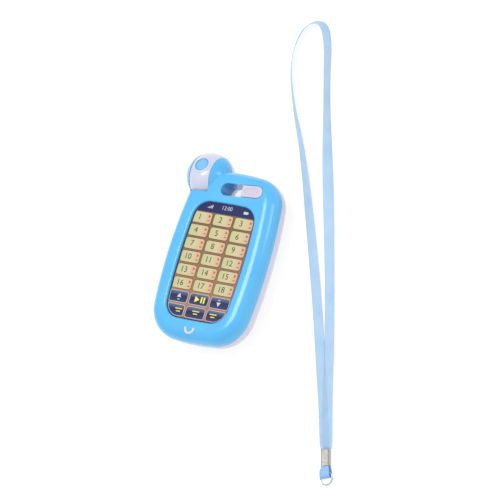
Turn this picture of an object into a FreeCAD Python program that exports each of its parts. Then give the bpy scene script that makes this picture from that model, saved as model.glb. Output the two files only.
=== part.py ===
"""Toy cell phone: a two-shell plastic case with a key film, a turning lamp drum, a push button,
a battery compartment, and a ribbon lanyard that lies beside it.  FreeCAD 1.1 macro, millimetres."""
import FreeCAD, Part
import math
import os
import Sketcher

Vector = FreeCAD.Vector
AXIS = {"X": Vector(1, 0, 0), "Y": Vector(0, 1, 0), "Z": Vector(0, 0, 1)}

# How a sketch names the ends and centre of an arc, and its own origin and axes.
START, END, CENTRE = range(1, 4)
ORIGIN, X_AXIS, Y_AXIS = -1, -1, -2

# X is the phone's right, Y runs towards the drum end, Z comes out of the key side; the back lies at Z = 0.
SIZES = {
    # case
    "side_margin": 17.15,           # case beside the window
    "top_margin": 30.85,            # case above the window, at the drum end
    "bottom_margin": 18.65,         # case below the window
    "side_bow_radius": 430.0,       # the long sides bulge on this radius
    "end_bow_radius": 208.0,        # the ends bulge on this radius
    "widest_offset": 5.4,           # the widest place lies this far below the middle
    "top_corner_radius": 26.6,
    "bottom_corner_radius": 31.7,
    "front_depth": 14.7,            # parting line to the key side
    "rear_depth": 22.2,             # back to the parting line
    "front_rounding": 11.0,
    "rear_rounding": 19.4,
    "case_wall": 2.2,
    "rear_inset": 0.3,              # the rear shell stands in from the front shell
    # window and key stack
    "window_width": 68.9,
    "window_length": 109.0,
    "window_bow_radius": 510.0,
    "window_corner_radius": 15.6,
    "window_depth": 2.4,            # key side down to the film
    "window_rounding": 1.8,
    "collar_wall": 2.2,             # wall that stands round the window, the hole and the bay
    "film_margin": 1.8,             # film under the collar
    "film_thickness": 0.4,
    "sheet_thickness": 0.35,
    "spacer_thickness": 0.45,
    "key_columns": 3,
    "spacer_web": 9.0,              # between two columns of contacts
    "spacer_end": 11.0,             # above and below a column
    "board_side": 7.55,             # board past each long side of the window
    "board_end": 1.5,               # board past each end of it
    "board_shift": 1.1,             # middle of the board below the middle of the window
    "board_corner_radius": 14.0,
    "board_thickness": 1.6,
    "board_screw_side": 3.0,        # board screws in from the board's long sides
    "board_screw_end": 14.0,        # in from its ends
    # slot: lanyard hole on the left, push button on the right
    "slot_length": 44.0,
    "slot_width": 11.7,
    "slot_middle_x": 10.9,
    "slot_rise": 13.6,              # middle of the slot above the window
    "slot_tilt": 3.5,               # degrees
    "hole_length": 21.9,            # left part of the slot that goes right through
    "partition_wall": 2.0,
    "partition_drop": 4.4,          # top of the partition below the key side
    "funnel_height": 18.0,          # rear mouth of the hole opens below this height
    "funnel_spread_x": 13.5,        # how much longer the rear mouth is than the hole
    "funnel_spread_y": 9.0,         # how much wider it is
    "funnel_shift": 2.25,           # away from the button
    "funnel_corner_step": 1.0,
    "corner_slack": 0.1,            # keeps a full round corner short of the middle
    "button_gap": 0.4,
    "button_rise": 0.5,             # cap above the key side
    "button_height": 3.8,
    "button_rounding": 0.8,
    "button_middle": 10.3,          # middle of the switch from the middle of the slot
    "button_travel": 0.6,
    "button_ear_reach": 1.1,
    "button_ear_drop": 0.8,         # ears below the wall that keeps them in
    "button_ear_length": 11.0,
    "button_ear_thickness": 1.3,
    "button_dish_depth": 0.35,
    "button_dish_length": 13.8,
    "button_dish_width": 6.4,
    "stem_radius": 2.0,
    "stem_length": 1.1,
    "switch_width": 6.0,
    "switch_height": 3.5,
    "plunger_radius": 1.7,
    "plunger_rise": 0.8,
    "plunger_length": 2.5,
    "switch_board_width": 12.0,
    "switch_board_length": 23.6,
    "switch_post_spread": 19.6,
    "switch_post_radius": 2.2,
    # lamp drum
    "drum_radius": 21.4,
    "drum_width": 20.4,
    "drum_side": 16.5,              # middle of the drum in from the case's left side
    "drum_end": 6.4,                # in from the case's end
    "drum_wall": 2.4,
    "drum_gap": 1.0,                # drum to the bay behind it
    "cheek_gap": 0.45,              # drum to each cheek
    "cheek_step": 0.3,              # cheeks stand out round the drum
    "bay_wall": 1.8,
    "cheek_wall": 2.2,
    "bay_mouth_reach": 10.4,        # rear edge of the bay's mouth from the drum's middle
    "pivot_radius": 3.0,
    "running_gap": 0.08,
    "rest_gap": 0.3,                # between pieces that lie near each other
    "hub_radius": 6.2,
    "hub_reach": 2.0,               # lamp holder past the drum's middle
    "hub_flange_reach": 2.0,
    "hub_flange_thickness": 1.5,
    "end_cap_radius": 16.2,
    "end_cap_thickness": 2.2,
    "lens_radius": 6.4,
    "lens_inset": 0.4,              # top of the lens below the drum's skin
    "lens_thickness": 2.4,
    "lens_tilt": 74.0,              # degrees from the top end towards the key side
    "lens_ring_radius": 7.6,
    "lens_ring_wire": 1.0,
    "lens_ring_sink": 0.5,          # middle of the ring's wire below the drum's skin
    "led_radius": 2.5,
    "led_length": 6.0,
    "led_rise": 2.0,                # straight part of the lamp past its holder
    # smile mark
    "smile_radius": 4.2,
    "smile_wire": 1.2,
    "smile_gap": 7.6,               # middle of the smile below the window
    "smile_sink": 0.5,
    "smile_spread": 200.0,          # degrees of arc
    # case screws and bosses
    "boss_radius": 3.6,
    "screw_radius": 1.3,
    "screw_head_radius": 2.6,
    "screw_head_height": 2.0,
    "screw_seat_height": 14.0,
    "screw_length": 14.0,
    "counterbore_radius": 3.0,
    "counterbore_wall": 1.0,
    "board_boss_radius": 3.0,
    "notch_gap": 0.5,               # board round the case bosses
    "recess_depth": 0.9,            # cross recess of every screw
    "recess_length": 3.0,
    "recess_width": 0.7,
    "side_screw_inset": 7.3,        # side screws in from the case's long sides
    "upper_screw_rise": 24.1,       # above the middle of the window
    "lower_screw_drop": 31.9,       # below it
    "end_screw_inset": 8.25,        # end screw in from the bottom end
    "corner_screw_side": 11.1,      # corner screw in from the right side
    "corner_screw_end": 22.25,      # and from the top end
    "board_screw_length": 4.6,
    # battery compartment
    "cell_radius": 5.25,
    "cell_length": 44.5,
    "cell_pitch": 11.2,
    "cell_count": 3,
    "nub_radius": 1.9,
    "nub_height": 0.8,
    "bay_middle_y": -27.0,
    "spring_room": 5.9,             # for the spring behind a cell
    "bay_side_gap": 1.8,
    "bay_height": 11.2,
    "bay_lining": 1.8,
    "bay_roof": 1.6,
    "door_side": 2.75,              # door past each side of the bay
    "door_end": 4.2,                # past each end of it
    "door_shift": 3.2,              # middle of the door below the middle of the bay
    "door_thickness": 2.0,
    "door_gap": 0.25,
    "door_corner_radius": 4.0,
    "door_ledge": 2.2,
    "door_screw_step": 4.0,         # door screw below the bay
    "door_screw_head_height": 1.2,
    "door_screw_length": 9.0,
    "tab_width": 6.0,
    "tab_height": 3.0,
    "tab_thickness": 1.4,
    "plate_width": 8.4,
    "plate_thickness": 0.4,
    "spring_wire": 0.4,
    "spring_radius": 3.2,
    "spring_turns": 3.0,
    "spring_clearance": 0.05,       # at each end of a battery spring
    # loudspeaker
    "speaker_radius": 18.0,
    "speaker_middle_y": 23.0,
    "speaker_depth": 4.5,
    "speaker_flange": 1.2,
    "speaker_rim": 2.0,
    "speaker_seat_wall": 1.5,
    "basket_wall": 2.0,
    "surround_width": 2.4,
    "dust_cap_radius": 6.2,
    "cone_wall": 0.5,
    "magnet_radius": 9.0,
    "magnet_depth": 4.0,
    "sound_hole_radius": 1.1,
    "sound_ring_pitch": 4.4,
    # electronics
    "chip_radius": 6.0,
    "chip_height": 2.0,
    "chip_offset": 24.0,            # to the left of the middle
    "capacitor_radius": 3.1,
    "capacitor_length": 7.0,
    "capacitor_offset": 24.0,
    "capacitor_drop": 24.0,
    "resistor_count": 5,
    "resistor_length": 3.2,
    "resistor_width": 1.6,
    "resistor_height": 0.8,
    "resistor_pitch": 4.0,
    "resistor_offset": 12.0,
    "resistor_start": 6.0,
    "wire_radius": 0.55,
    "wire_lead": 4.5,               # straight run at a terminal
    "wire_spread": 2.6,             # between the two wires of a pair
    "wire_clearance": 0.05,         # between a wire's cut end and its terminal
    # lanyard
    "ribbon_width": 9.6,
    "ribbon_thickness": 0.8,
    "crimp_gap": 0.27,              # ribbon's two ends to the crimp
    "crimp_width": 8.0,
    "crimp_length": 14.5,
    "crimp_height": 5.0,
    "crimp_rounding": 1.2,
    "end_loop_length": 11.3,
    "end_loop_height": 6.0,
    "ring_radius": 5.8,
    "ring_wire": 0.42,
    "ring_turns": 2.0,
    "ring_turn_gap": 0.02,          # between two turns of the ring
    "ring_clearance": 0.05,         # ring to the loop under it and to the floor
}

RUN_SHARE = 0.45                    # share of the shorter run that an arc takes on each side of its corner
BENDS_A_TURN = 8                    # of a battery spring
LEVEL = 0.01                        # how far apart two heights may be and count as one
SOUND_RINGS = 3                     # rings of sound holes round the middle one
HOLES_A_RING = 6                    # more holes in each ring than in the one inside it

# Middle line of the ribbon from the crimp, out along its right leg, round the top and back, by eye.
RIBBON_ROUTE = [
    (152.6, -143.8, 2.7), (141.5, -113.0, 2.4), (121.0, -46.0, 2.0), (98.3, 21.5, 2.6), (76.0, 84.0, 3.6),
    (54.8, 144.0, 4.9), (40.0, 188.0, 5.0), (31.5, 216.0, 4.8), (21.0, 233.5, 4.4), (7.0, 233.0, 4.3),
    (-2.0, 219.0, 4.3), (-1.5, 192.0, 4.3), (14.0, 156.0, 4.2), (39.0, 113.0, 3.4), (67.5, 51.0, 2.2),
    (97.5, -16.0, 1.8), (122.5, -77.0, 1.7), (138.0, -114.0, 1.7), (149.4, -144.9, 1.7),
]
CRIMP_TURN = 199.06                 # degrees about Z from +Y to the way the crimp points


class Size:
    """A length that carries its spreadsheet expression beside its value."""

    def __init__(self, text, value):
        self.text = text
        self.value = value

    def _with(self, other, sign, value):
        return Size("(%s %s %s)" % (self.text, sign, as_size(other).text), value)

    def __add__(self, other):
        return self._with(other, "+", self.value + as_size(other).value)

    def __sub__(self, other):
        return self._with(other, "-", self.value - as_size(other).value)

    def __mul__(self, other):
        return self._with(other, "*", self.value * as_size(other).value)

    def __truediv__(self, other):
        return self._with(other, "/", self.value / as_size(other).value)

    def __neg__(self):
        return Size("(-1 * %s)" % self.text, -self.value)


def as_size(number):
    """Give a plain number the same two faces as a named size."""
    return number if isinstance(number, Size) else Size("(%s)" % repr(float(number)), float(number))


def root(amount):
    """Square root of a size."""
    return Size("sqrt(%s)" % amount.text, math.sqrt(amount.value))


doc = FreeCAD.newDocument("toy_cell_phone")
sheet = doc.addObject("Spreadsheet::Sheet", "sizes")
named = {}
for row, (alias, amount) in enumerate(SIZES.items(), start=1):
    sheet.set("A%d" % row, alias)
    sheet.set("B%d" % row, str(amount))
    sheet.setAlias("B%d" % row, alias)
    named[alias] = Size("sizes." + alias, amount)
doc.recompute()

nodes = []
OVERRUN = as_size(1.0)              # how far a cutting shape runs past what it cuts


def size(alias):
    """A driving size from the sheet."""
    return named[alias]


def bind(obj, prop, amount):
    """Drive one property of an object from the sheet."""
    obj.setExpression(prop, as_size(amount).text)


def place(obj, x=0, y=0, z=0, axis="Z", angle=0):
    """Put an object at (x, y, z), turned about one axis."""
    spots = [as_size(v) for v in (x, y, z)]
    turn = as_size(angle)
    obj.Placement = FreeCAD.Placement(
        Vector(*[spot.value for spot in spots]), FreeCAD.Rotation(AXIS[axis], turn.value))
    for letter, spot in zip("xyz", spots):
        obj.setExpression("Placement.Base." + letter, spot.text)
    if isinstance(angle, Size):
        obj.setExpression("Placement.Rotation.Angle", turn.text)
    return obj


def cylinder(name, radius, height, x=0, y=0, z=0, axis="Z"):
    """A cylinder that grows along one axis from (x, y, z)."""
    obj = doc.addObject("Part::Cylinder", name)
    bind(obj, "Radius", radius)
    bind(obj, "Height", height)
    if axis == "X":
        return place(obj, x, y, z, "Y", 90)
    if axis == "Y":
        return place(obj, x, y, z, "X", -90)
    return place(obj, x, y, z)


def box(name, length, width, height, x=0, y=0, z=0):
    """A box centred on x and y that stands on z."""
    obj = doc.addObject("Part::Box", name)
    bind(obj, "Length", length)
    bind(obj, "Width", width)
    bind(obj, "Height", height)
    return place(obj, as_size(x) - as_size(length) / 2, as_size(y) - as_size(width) / 2, z)


def sphere(name, radius, x=0, y=0, z=0):
    obj = doc.addObject("Part::Sphere", name)
    bind(obj, "Radius", radius)
    return place(obj, x, y, z)


def cut(name, base, tool):
    obj = doc.addObject("Part::Cut", name)
    obj.Base = base
    obj.Tool = tool
    return obj


def fuse(name, shapes):
    obj = doc.addObject("Part::MultiFuse", name)
    obj.Shapes = shapes
    return obj


def common(name, shapes):
    obj = doc.addObject("Part::MultiCommon", name)
    obj.Shapes = shapes
    return obj


def group(name, shapes):
    """Separate solids that share one node."""
    obj = doc.addObject("Part::Compound", name)
    obj.Links = shapes
    return obj


def node(obj, label):
    """Name a finished sub-part; the label names its file."""
    obj.Label = label
    nodes.append(obj)
    return obj


def origin_plane(body, role):
    """One of a body's own origin planes."""
    return [plane for plane in body.Origin.OriginFeatures if plane.Role == role][0]


def sketch_on(body, name, x=0, y=0, height=0):
    """A sketch parallel to the body's own XY plane, with its origin at (x, y, height)."""
    sketch = body.newObject("Sketcher::SketchObject", name)
    sketch.AttachmentSupport = (origin_plane(body, "XY_Plane"), [""])
    sketch.MapMode = "FlatFace"
    for letter, offset in zip("xyz", (x, y, height)):
        bind(sketch, "AttachmentOffset.Base." + letter, offset)
    return sketch


def drive(sketch, name, amount, kind, *points):
    """Add a dimension to a sketch and tie it to the sheet."""
    index = sketch.addConstraint(Sketcher.Constraint(kind, *points, amount.value))
    sketch.renameConstraint(index, name)
    bind(sketch, "Constraints." + name, amount)


def corner_centre(side, end, side_radius, end_radius, radius, sx, sy):
    """Centre of the corner arc that touches a side arc and an end arc from inside."""
    reach_side = side_radius - radius
    reach_end = end_radius - radius
    apart = math.dist(side, end)
    along = (reach_side ** 2 - reach_end ** 2 + apart ** 2) / (2 * apart)
    across = math.sqrt(max(reach_side ** 2 - along ** 2, 0))
    ux = (end[0] - side[0]) / apart
    uy = (end[1] - side[1]) / apart
    foot = (side[0] + along * ux, side[1] + along * uy)
    options = [(foot[0] - across * uy, foot[1] + across * ux), (foot[0] + across * uy, foot[1] - across * ux)]
    return max(options, key=lambda spot: sx * spot[0] + sy * spot[1])


def bowed_outline(sketch, width, length, side_radius, end_radius, top_corner, bottom_corner, middle=0):
    """A closed outline of eight tangent arcs: two bowed sides, two bowed ends and four corners.
    The sketch's origin is at its widest place, and middle is how far above that its middle lies."""
    side_x = side_radius - width / 2
    end_y = end_radius - length / 2
    top_y = end_y - middle
    bottom_y = end_y + middle
    sides = {1: (-side_x.value, 0.0), -1: (side_x.value, 0.0)}
    ends = {1: (0.0, -top_y.value), -1: (0.0, bottom_y.value)}
    corners = {}
    for sx in (1, -1):
        for sy, radius in ((1, top_corner), (-1, bottom_corner)):
            corners[sx, sy] = corner_centre(
                sides[sx], ends[sy], side_radius.value, end_radius.value, radius.value, sx, sy)

    def arc(centre, radius, first, second):
        """The short arc about a centre, in the bearing of two other centres."""
        start, stop = [math.atan2(spot[1] - centre[1], spot[0] - centre[0]) for spot in (first, second)]
        while stop < start:
            stop += 2 * math.pi
        circle = Part.Circle(Vector(centre[0], centre[1], 0), AXIS["Z"], radius.value)
        return sketch.addGeometry(Part.ArcOfCircle(circle, start, stop), False)

    def corner_arc(sx, sy, radius):
        """A corner starts where the arc before it ends: its centre lies between the two big centres."""
        spot = corners[sx, sy]
        from_side = (2 * spot[0] - sides[sx][0], 2 * spot[1] - sides[sx][1])
        from_end = (2 * spot[0] - ends[sy][0], 2 * spot[1] - ends[sy][1])
        return arc(spot, radius, from_side, from_end) if sx * sy > 0 else arc(spot, radius, from_end, from_side)

    right = arc(sides[1], side_radius, corners[1, -1], corners[1, 1])
    top_right = corner_arc(1, 1, top_corner)
    top = arc(ends[1], end_radius, corners[1, 1], corners[-1, 1])
    top_left = corner_arc(-1, 1, top_corner)
    left = arc(sides[-1], side_radius, corners[-1, 1], corners[-1, -1])
    bottom_left = corner_arc(-1, -1, bottom_corner)
    bottom = arc(ends[-1], end_radius, corners[-1, -1], corners[1, -1])
    bottom_right = corner_arc(1, -1, bottom_corner)
    loop = [right, top_right, top, top_left, left, bottom_left, bottom, bottom_right]
    for first, second in zip(loop, loop[1:] + loop[:1]):
        sketch.addConstraint(Sketcher.Constraint("Tangent", first, END, second, START))
    for first, second in ((right, left), (top, bottom), (top_right, top_left), (bottom_right, bottom_left)):
        sketch.addConstraint(Sketcher.Constraint("Equal", first, second))
    for centred in (top, bottom):
        sketch.addConstraint(Sketcher.Constraint("PointOnObject", centred, CENTRE, Y_AXIS))
    for level in (right, left):
        sketch.addConstraint(Sketcher.Constraint("PointOnObject", level, CENTRE, X_AXIS))
    drive(sketch, "SideBow", side_radius, "Radius", right)
    drive(sketch, "EndBow", end_radius, "Radius", top)
    drive(sketch, "TopCorner", top_corner, "Radius", top_right)
    drive(sketch, "BottomCorner", bottom_corner, "Radius", bottom_right)
    drive(sketch, "RightCentre", side_x, "DistanceX", right, CENTRE, ORIGIN, START)
    drive(sketch, "LeftCentre", side_x, "DistanceX", ORIGIN, START, left, CENTRE)
    drive(sketch, "TopCentre", top_y, "DistanceY", top, CENTRE, ORIGIN, START)
    drive(sketch, "BottomCentre", bottom_y, "DistanceY", ORIGIN, START, bottom, CENTRE)


def rounded_rectangle(sketch, width, length, corner):
    """A rectangle with round corners about the sketch's origin."""
    reach_x = width / 2 - corner
    reach_y = length / 2 - corner
    across, along, radius = reach_x.value, reach_y.value, corner.value
    loop = []
    for index, (sx, sy) in enumerate([(1, 1), (-1, 1), (-1, -1), (1, -1)]):
        start = index * math.pi / 2
        spot = Vector(sx * across, sy * along, 0)
        out = Vector(0, sy * radius, 0) if index % 2 == 0 else Vector(sx * radius, 0, 0)
        ahead = Vector(-sx * across, sy * along, 0) if index % 2 == 0 else Vector(sx * across, -sy * along, 0)
        circle = Part.Circle(spot, AXIS["Z"], radius)
        loop.append(sketch.addGeometry(Part.ArcOfCircle(circle, start, start + math.pi / 2), False))
        loop.append(sketch.addGeometry(Part.LineSegment(spot + out, ahead + out), False))
    for first, second in zip(loop, loop[1:] + loop[:1]):
        sketch.addConstraint(Sketcher.Constraint("Tangent", first, END, second, START))
    corners = loop[0::2]
    for other in corners[1:]:
        sketch.addConstraint(Sketcher.Constraint("Equal", corners[0], other))
    sketch.addConstraint(Sketcher.Constraint("Vertical", loop[3]))
    sketch.addConstraint(Sketcher.Constraint("Horizontal", loop[5]))
    sketch.addConstraint(Sketcher.Constraint("Symmetric", corners[0], CENTRE, corners[1], CENTRE, Y_AXIS))
    sketch.addConstraint(Sketcher.Constraint("Symmetric", corners[0], CENTRE, corners[3], CENTRE, X_AXIS))
    drive(sketch, "Corner", corner, "Radius", corners[0])
    drive(sketch, "ReachX", reach_x, "DistanceX", ORIGIN, START, corners[0], CENTRE)
    drive(sketch, "ReachY", reach_y, "DistanceY", ORIGIN, START, corners[0], CENTRE)


def pad(body, name, profile, length):
    feature = body.newObject("PartDesign::Pad", name)
    feature.Profile = profile
    bind(feature, "Length", length)
    doc.recompute()
    return feature


def round_edges(body, name, base, radius, at_height):
    """Round every edge of the body that lies wholly at one height."""
    edges = []
    for index, edge in enumerate(base.Shape.Edges, start=1):
        bounds = edge.BoundBox
        if abs(bounds.ZMin - at_height) < LEVEL and abs(bounds.ZMax - at_height) < LEVEL:
            edges.append("Edge%d" % index)
    feature = body.newObject("PartDesign::Fillet", name)
    feature.Base = (base, edges)
    bind(feature, "Radius", radius)
    doc.recompute()
    return feature


def case_block(name, inset, low, high, rounding, rounded_end):
    """The case outline, drawn in by an inset, between two heights and rounded at one of them."""
    body = doc.addObject("PartDesign::Body", name)
    sketch = sketch_on(body, name + "_outline", y=-size("widest_offset"), height=low)
    bowed_outline(
        sketch, case_width - inset * 2, case_length - inset * 2,
        size("side_bow_radius") - inset, size("end_bow_radius") - inset,
        size("top_corner_radius") - inset, size("bottom_corner_radius") - inset, size("widest_offset"))
    block = pad(body, name + "_pad", sketch, high - low)
    round_edges(body, name + "_rounding", block, rounding, rounded_end.value)
    return body


def window_block(name, margin, low, high):
    """The window outline, grown by a margin, between two heights."""
    body = doc.addObject("PartDesign::Body", name)
    sketch = sketch_on(body, name + "_outline", y=-window_drop, height=low)
    bow = size("window_bow_radius") + margin
    corner = size("window_corner_radius") + margin
    bowed_outline(
        sketch, size("window_width") + margin * 2, size("window_length") + margin * 2, bow, bow, corner, corner)
    pad(body, name + "_pad", sketch, high - low)
    return body


def rounded_plate(name, width, length, corner, low, thickness, x=0, y=0):
    """A flat plate with four round corners."""
    body = doc.addObject("PartDesign::Body", name)
    sketch = sketch_on(body, name + "_outline", x, y, low)
    rounded_rectangle(sketch, width, length, corner)
    pad(body, name + "_pad", sketch, thickness)
    return body


# Sizes and places that follow from the driving ones.
case_width = size("window_width") + size("side_margin") * 2
case_length = size("window_length") + size("top_margin") + size("bottom_margin")
half_width = case_width / 2
half_length = case_length / 2
window_drop = (size("top_margin") - size("bottom_margin")) / 2
window_top = half_length - size("top_margin")
slot_middle_y = window_top + size("slot_rise")
smile_drop = half_length - size("bottom_margin") + size("smile_gap")
board_width = size("window_width") + size("board_side") * 2
board_length = size("window_length") + size("board_end") * 2
board_drop = window_drop + size("board_shift")
bay_width = size("cell_pitch") * (size("cell_count") - 1) + size("cell_radius") * 2 + size("bay_side_gap") * 2
bay_length = size("cell_length") + size("nub_height") + size("plate_thickness") * 2 + size("spring_room")
door_width = bay_width + size("door_side") * 2
door_length = bay_length + size("door_end") * 2
door_middle_y = size("bay_middle_y") - size("door_shift")
door_screw_y = size("bay_middle_y") - bay_length / 2 - size("door_screw_step")
cheek_radius = size("drum_radius") + size("cheek_step")
ring_height = root(size("drum_radius") * size("drum_radius")
                   - size("lens_ring_radius") * size("lens_ring_radius")) - size("lens_ring_sink")

# Heights that several pieces share.
parting = size("rear_depth")
key_side = size("rear_depth") + size("front_depth")
film_top = key_side - size("window_depth")
film_low = film_top - size("film_thickness")
sheet_low = film_low - size("sheet_thickness")
spacer_low = sheet_low - size("spacer_thickness")
board_low = spacer_low - size("board_thickness")
drum_x = size("drum_side") - half_width
drum_y = half_length - size("drum_end")
drum_z = parting
bay_radius = size("drum_radius") + size("drum_gap")
half_bay = size("drum_width") / 2 + size("cheek_gap")
slot_radius = size("slot_width") / 2
slot_end = size("slot_length") / 2
hole_right = size("hole_length") - slot_end     # right face of the hole, from the slot's middle


def at_slot(obj):
    """Carry a shape drawn about the slot's own middle to its place on the case."""
    return place(obj, size("slot_middle_x"), slot_middle_y, 0, "Z", size("slot_tilt"))


def at_drum(obj):
    """Carry a shape drawn about the drum's own middle to its place on the case."""
    return place(obj, drum_x, drum_y, drum_z)


def slot_block(name, left, right, radius, low, high, square_left=False):
    """A bar along the slot with a round right end, and a round left end unless that is square."""
    start = left if square_left else left + radius
    stop = right - radius
    bar = box(name + "_bar", stop - start, radius * 2, high - low, (start + stop) / 2, 0, low)
    parts = [bar, cylinder(name + "_right", radius, high - low, stop, 0, low)]
    if not square_left:
        parts.append(cylinder(name + "_left", radius, high - low, left + radius, 0, low))
    return fuse(name, parts)


def hole_block(name, margin, partition, low, high):
    """The lanyard hole grown by a margin: round on the left, and flat against the partition on the right."""
    radius = slot_radius + margin
    middle = slot_radius - slot_end
    right = hole_right + partition
    bar = box(name + "_bar", right - middle, radius * 2, high - low, (right + middle) / 2, 0, low)
    return at_slot(fuse(name, [bar, cylinder(name + "_left", radius, high - low, middle, 0, low)]))


def half_ball(name, radius, upper):
    """The half of the cheeks' ball above or below the parting line."""
    ball = sphere(name, radius, drum_x, drum_y, drum_z)
    ball.Angle1 = 0 if upper else -90
    ball.Angle2 = 90 if upper else 0
    return ball


def bay_drum(name, radius, reach):
    """A round bar along the drum's axis that reaches equally far both ways."""
    return cylinder(name, radius, reach * 2, drum_x - reach, drum_y, drum_z, "X")


def bosses(name, spots, radius, low, high):
    """Upright round bars at a list of spots, as one shape."""
    bars = [cylinder("%s_%d" % (name, i), radius, high - low, x, y, low)
            for i, (x, y) in enumerate(spots, start=1)]
    return fuse(name, bars) if len(bars) > 1 else bars[0]


def screw(name, x, y, seat, head_height, length):
    """A cross-head screw: its head ends at the seat and its shank goes on from there."""
    deep = size("recess_depth")
    long, narrow = size("recess_length"), size("recess_width")
    head = cylinder(name + "_head", size("screw_head_radius"), head_height, x, y, seat - head_height)
    shank = cylinder(name + "_shank", size("screw_radius"), length, x, y, seat)
    slots = [box("%s_slot_%d" % (name, i), across, along, deep, x, y, seat - head_height)
             for i, (across, along) in enumerate([(long, narrow), (narrow, long)], start=1)]
    return cut(name, fuse(name + "_blank", [head, shank]), fuse(name + "_cross", slots))


def tangent_path(points):
    """Straight runs joined by tangent arcs, each as large as its two runs allow; also the radii."""
    edges = []
    radii = []
    last = points[0]
    for before, corner, after in zip(points, points[1:], points[2:]):
        back = (before - corner).normalize()
        ahead = (after - corner).normalize()
        shorter = min((before - corner).Length, (after - corner).Length)
        trim = RUN_SHARE * shorter
        half_turn = (math.pi - back.getAngle(ahead)) / 2
        radius = trim / math.tan(half_turn)
        middle = corner + (back + ahead).normalize() * (radius / math.cos(half_turn) - radius)
        start = corner + back * trim
        stop = corner + ahead * trim
        edges.append(Part.makeLine(last, start))
        edges.append(Part.Arc(start, middle, stop).toShape())
        radii.append(radius)
        last = stop
    edges.append(Part.makeLine(last, points[-1]))
    return Part.Wire(edges), radii


def tube(points, radius):
    """A round tube along a path of runs and arcs."""
    path, radii = tangent_path(points)
    section = Part.Wire(Part.makeCircle(radius, points[0], points[1] - points[0]))
    return path.makePipeShell([section], True, True), path.Length, radii


def coil(radius, wire, turns, length):
    """A round-wire coil about Z that stands on Z = 0."""
    rise = length - 2 * wire
    path = Part.makeHelix(rise / turns, rise, radius)
    section = Part.Wire(Part.makeCircle(wire, Vector(radius, 0, 0), Vector(0, 1, 0)))
    solid = Part.Wire(path.Edges).makePipeShell([section], True, True)
    solid.translate(Vector(0, 0, wire))
    return solid


def bent_coil(radius, wire, turns, length):
    """A soft-wire coil about Z that stands on Z = 0, bent in short equal arcs."""
    steps = round(turns * BENDS_A_TURN)
    rise = (length - 2 * wire) / steps
    points = []
    for i in range(steps + 1):
        angle = 2 * math.pi * i / BENDS_A_TURN
        points.append(Vector(radius * math.cos(angle), radius * math.sin(angle), wire + rise * i))
    return tube(points, wire)[0]


def shaped(name, shape, placement=None):
    """A piece whose shape no sketch or primitive gives."""
    obj = doc.addObject("Part::Feature", name)
    obj.Shape = shape
    if placement:
        obj.Placement = placement.multiply(shape.Placement)
    return obj


# ---- Case shells -----------------------------------------------------------------------------------

side_screw_x = half_width - size("side_screw_inset")
side_spots = [(side_screw_x * sign, y) for sign in (1, -1)
              for y in (size("upper_screw_rise") - window_drop, -size("lower_screw_drop") - window_drop)]
end_spot = (as_size(0), size("end_screw_inset") - half_length)
corner_spot = (half_width - size("corner_screw_side"), half_length - size("corner_screw_end"))
case_spots = side_spots + [end_spot, corner_spot]
board_spots = [((board_width / 2 - size("board_screw_side")) * side,
                (board_length / 2 - size("board_screw_end")) * sign - board_drop)
               for side in (1, -1) for sign in (1, -1)]
cap_low = key_side + size("button_rise") - size("button_height")
plunger_top = cap_low - size("stem_length")
switch_top = plunger_top - size("plunger_rise")
switch_board_top = switch_top - size("switch_height")
post_spots = [(size("button_middle"), size("switch_post_spread") / 2 * sign) for sign in (1, -1)]
pivot_hole = size("pivot_radius") + size("running_gap")


def shaft_holes(name):
    """Where the drum's pivot and the lamp holder pass through the cheeks."""
    wall = size("cheek_wall")
    reach = half_bay + wall
    left = cylinder(name + "_pivot", pivot_hole, wall + OVERRUN, drum_x - reach, drum_y, drum_z, "X")
    right = cylinder(name + "_hub", size("hub_radius"), reach, drum_x, drum_y, drum_z, "X")
    return [left, right]


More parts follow.
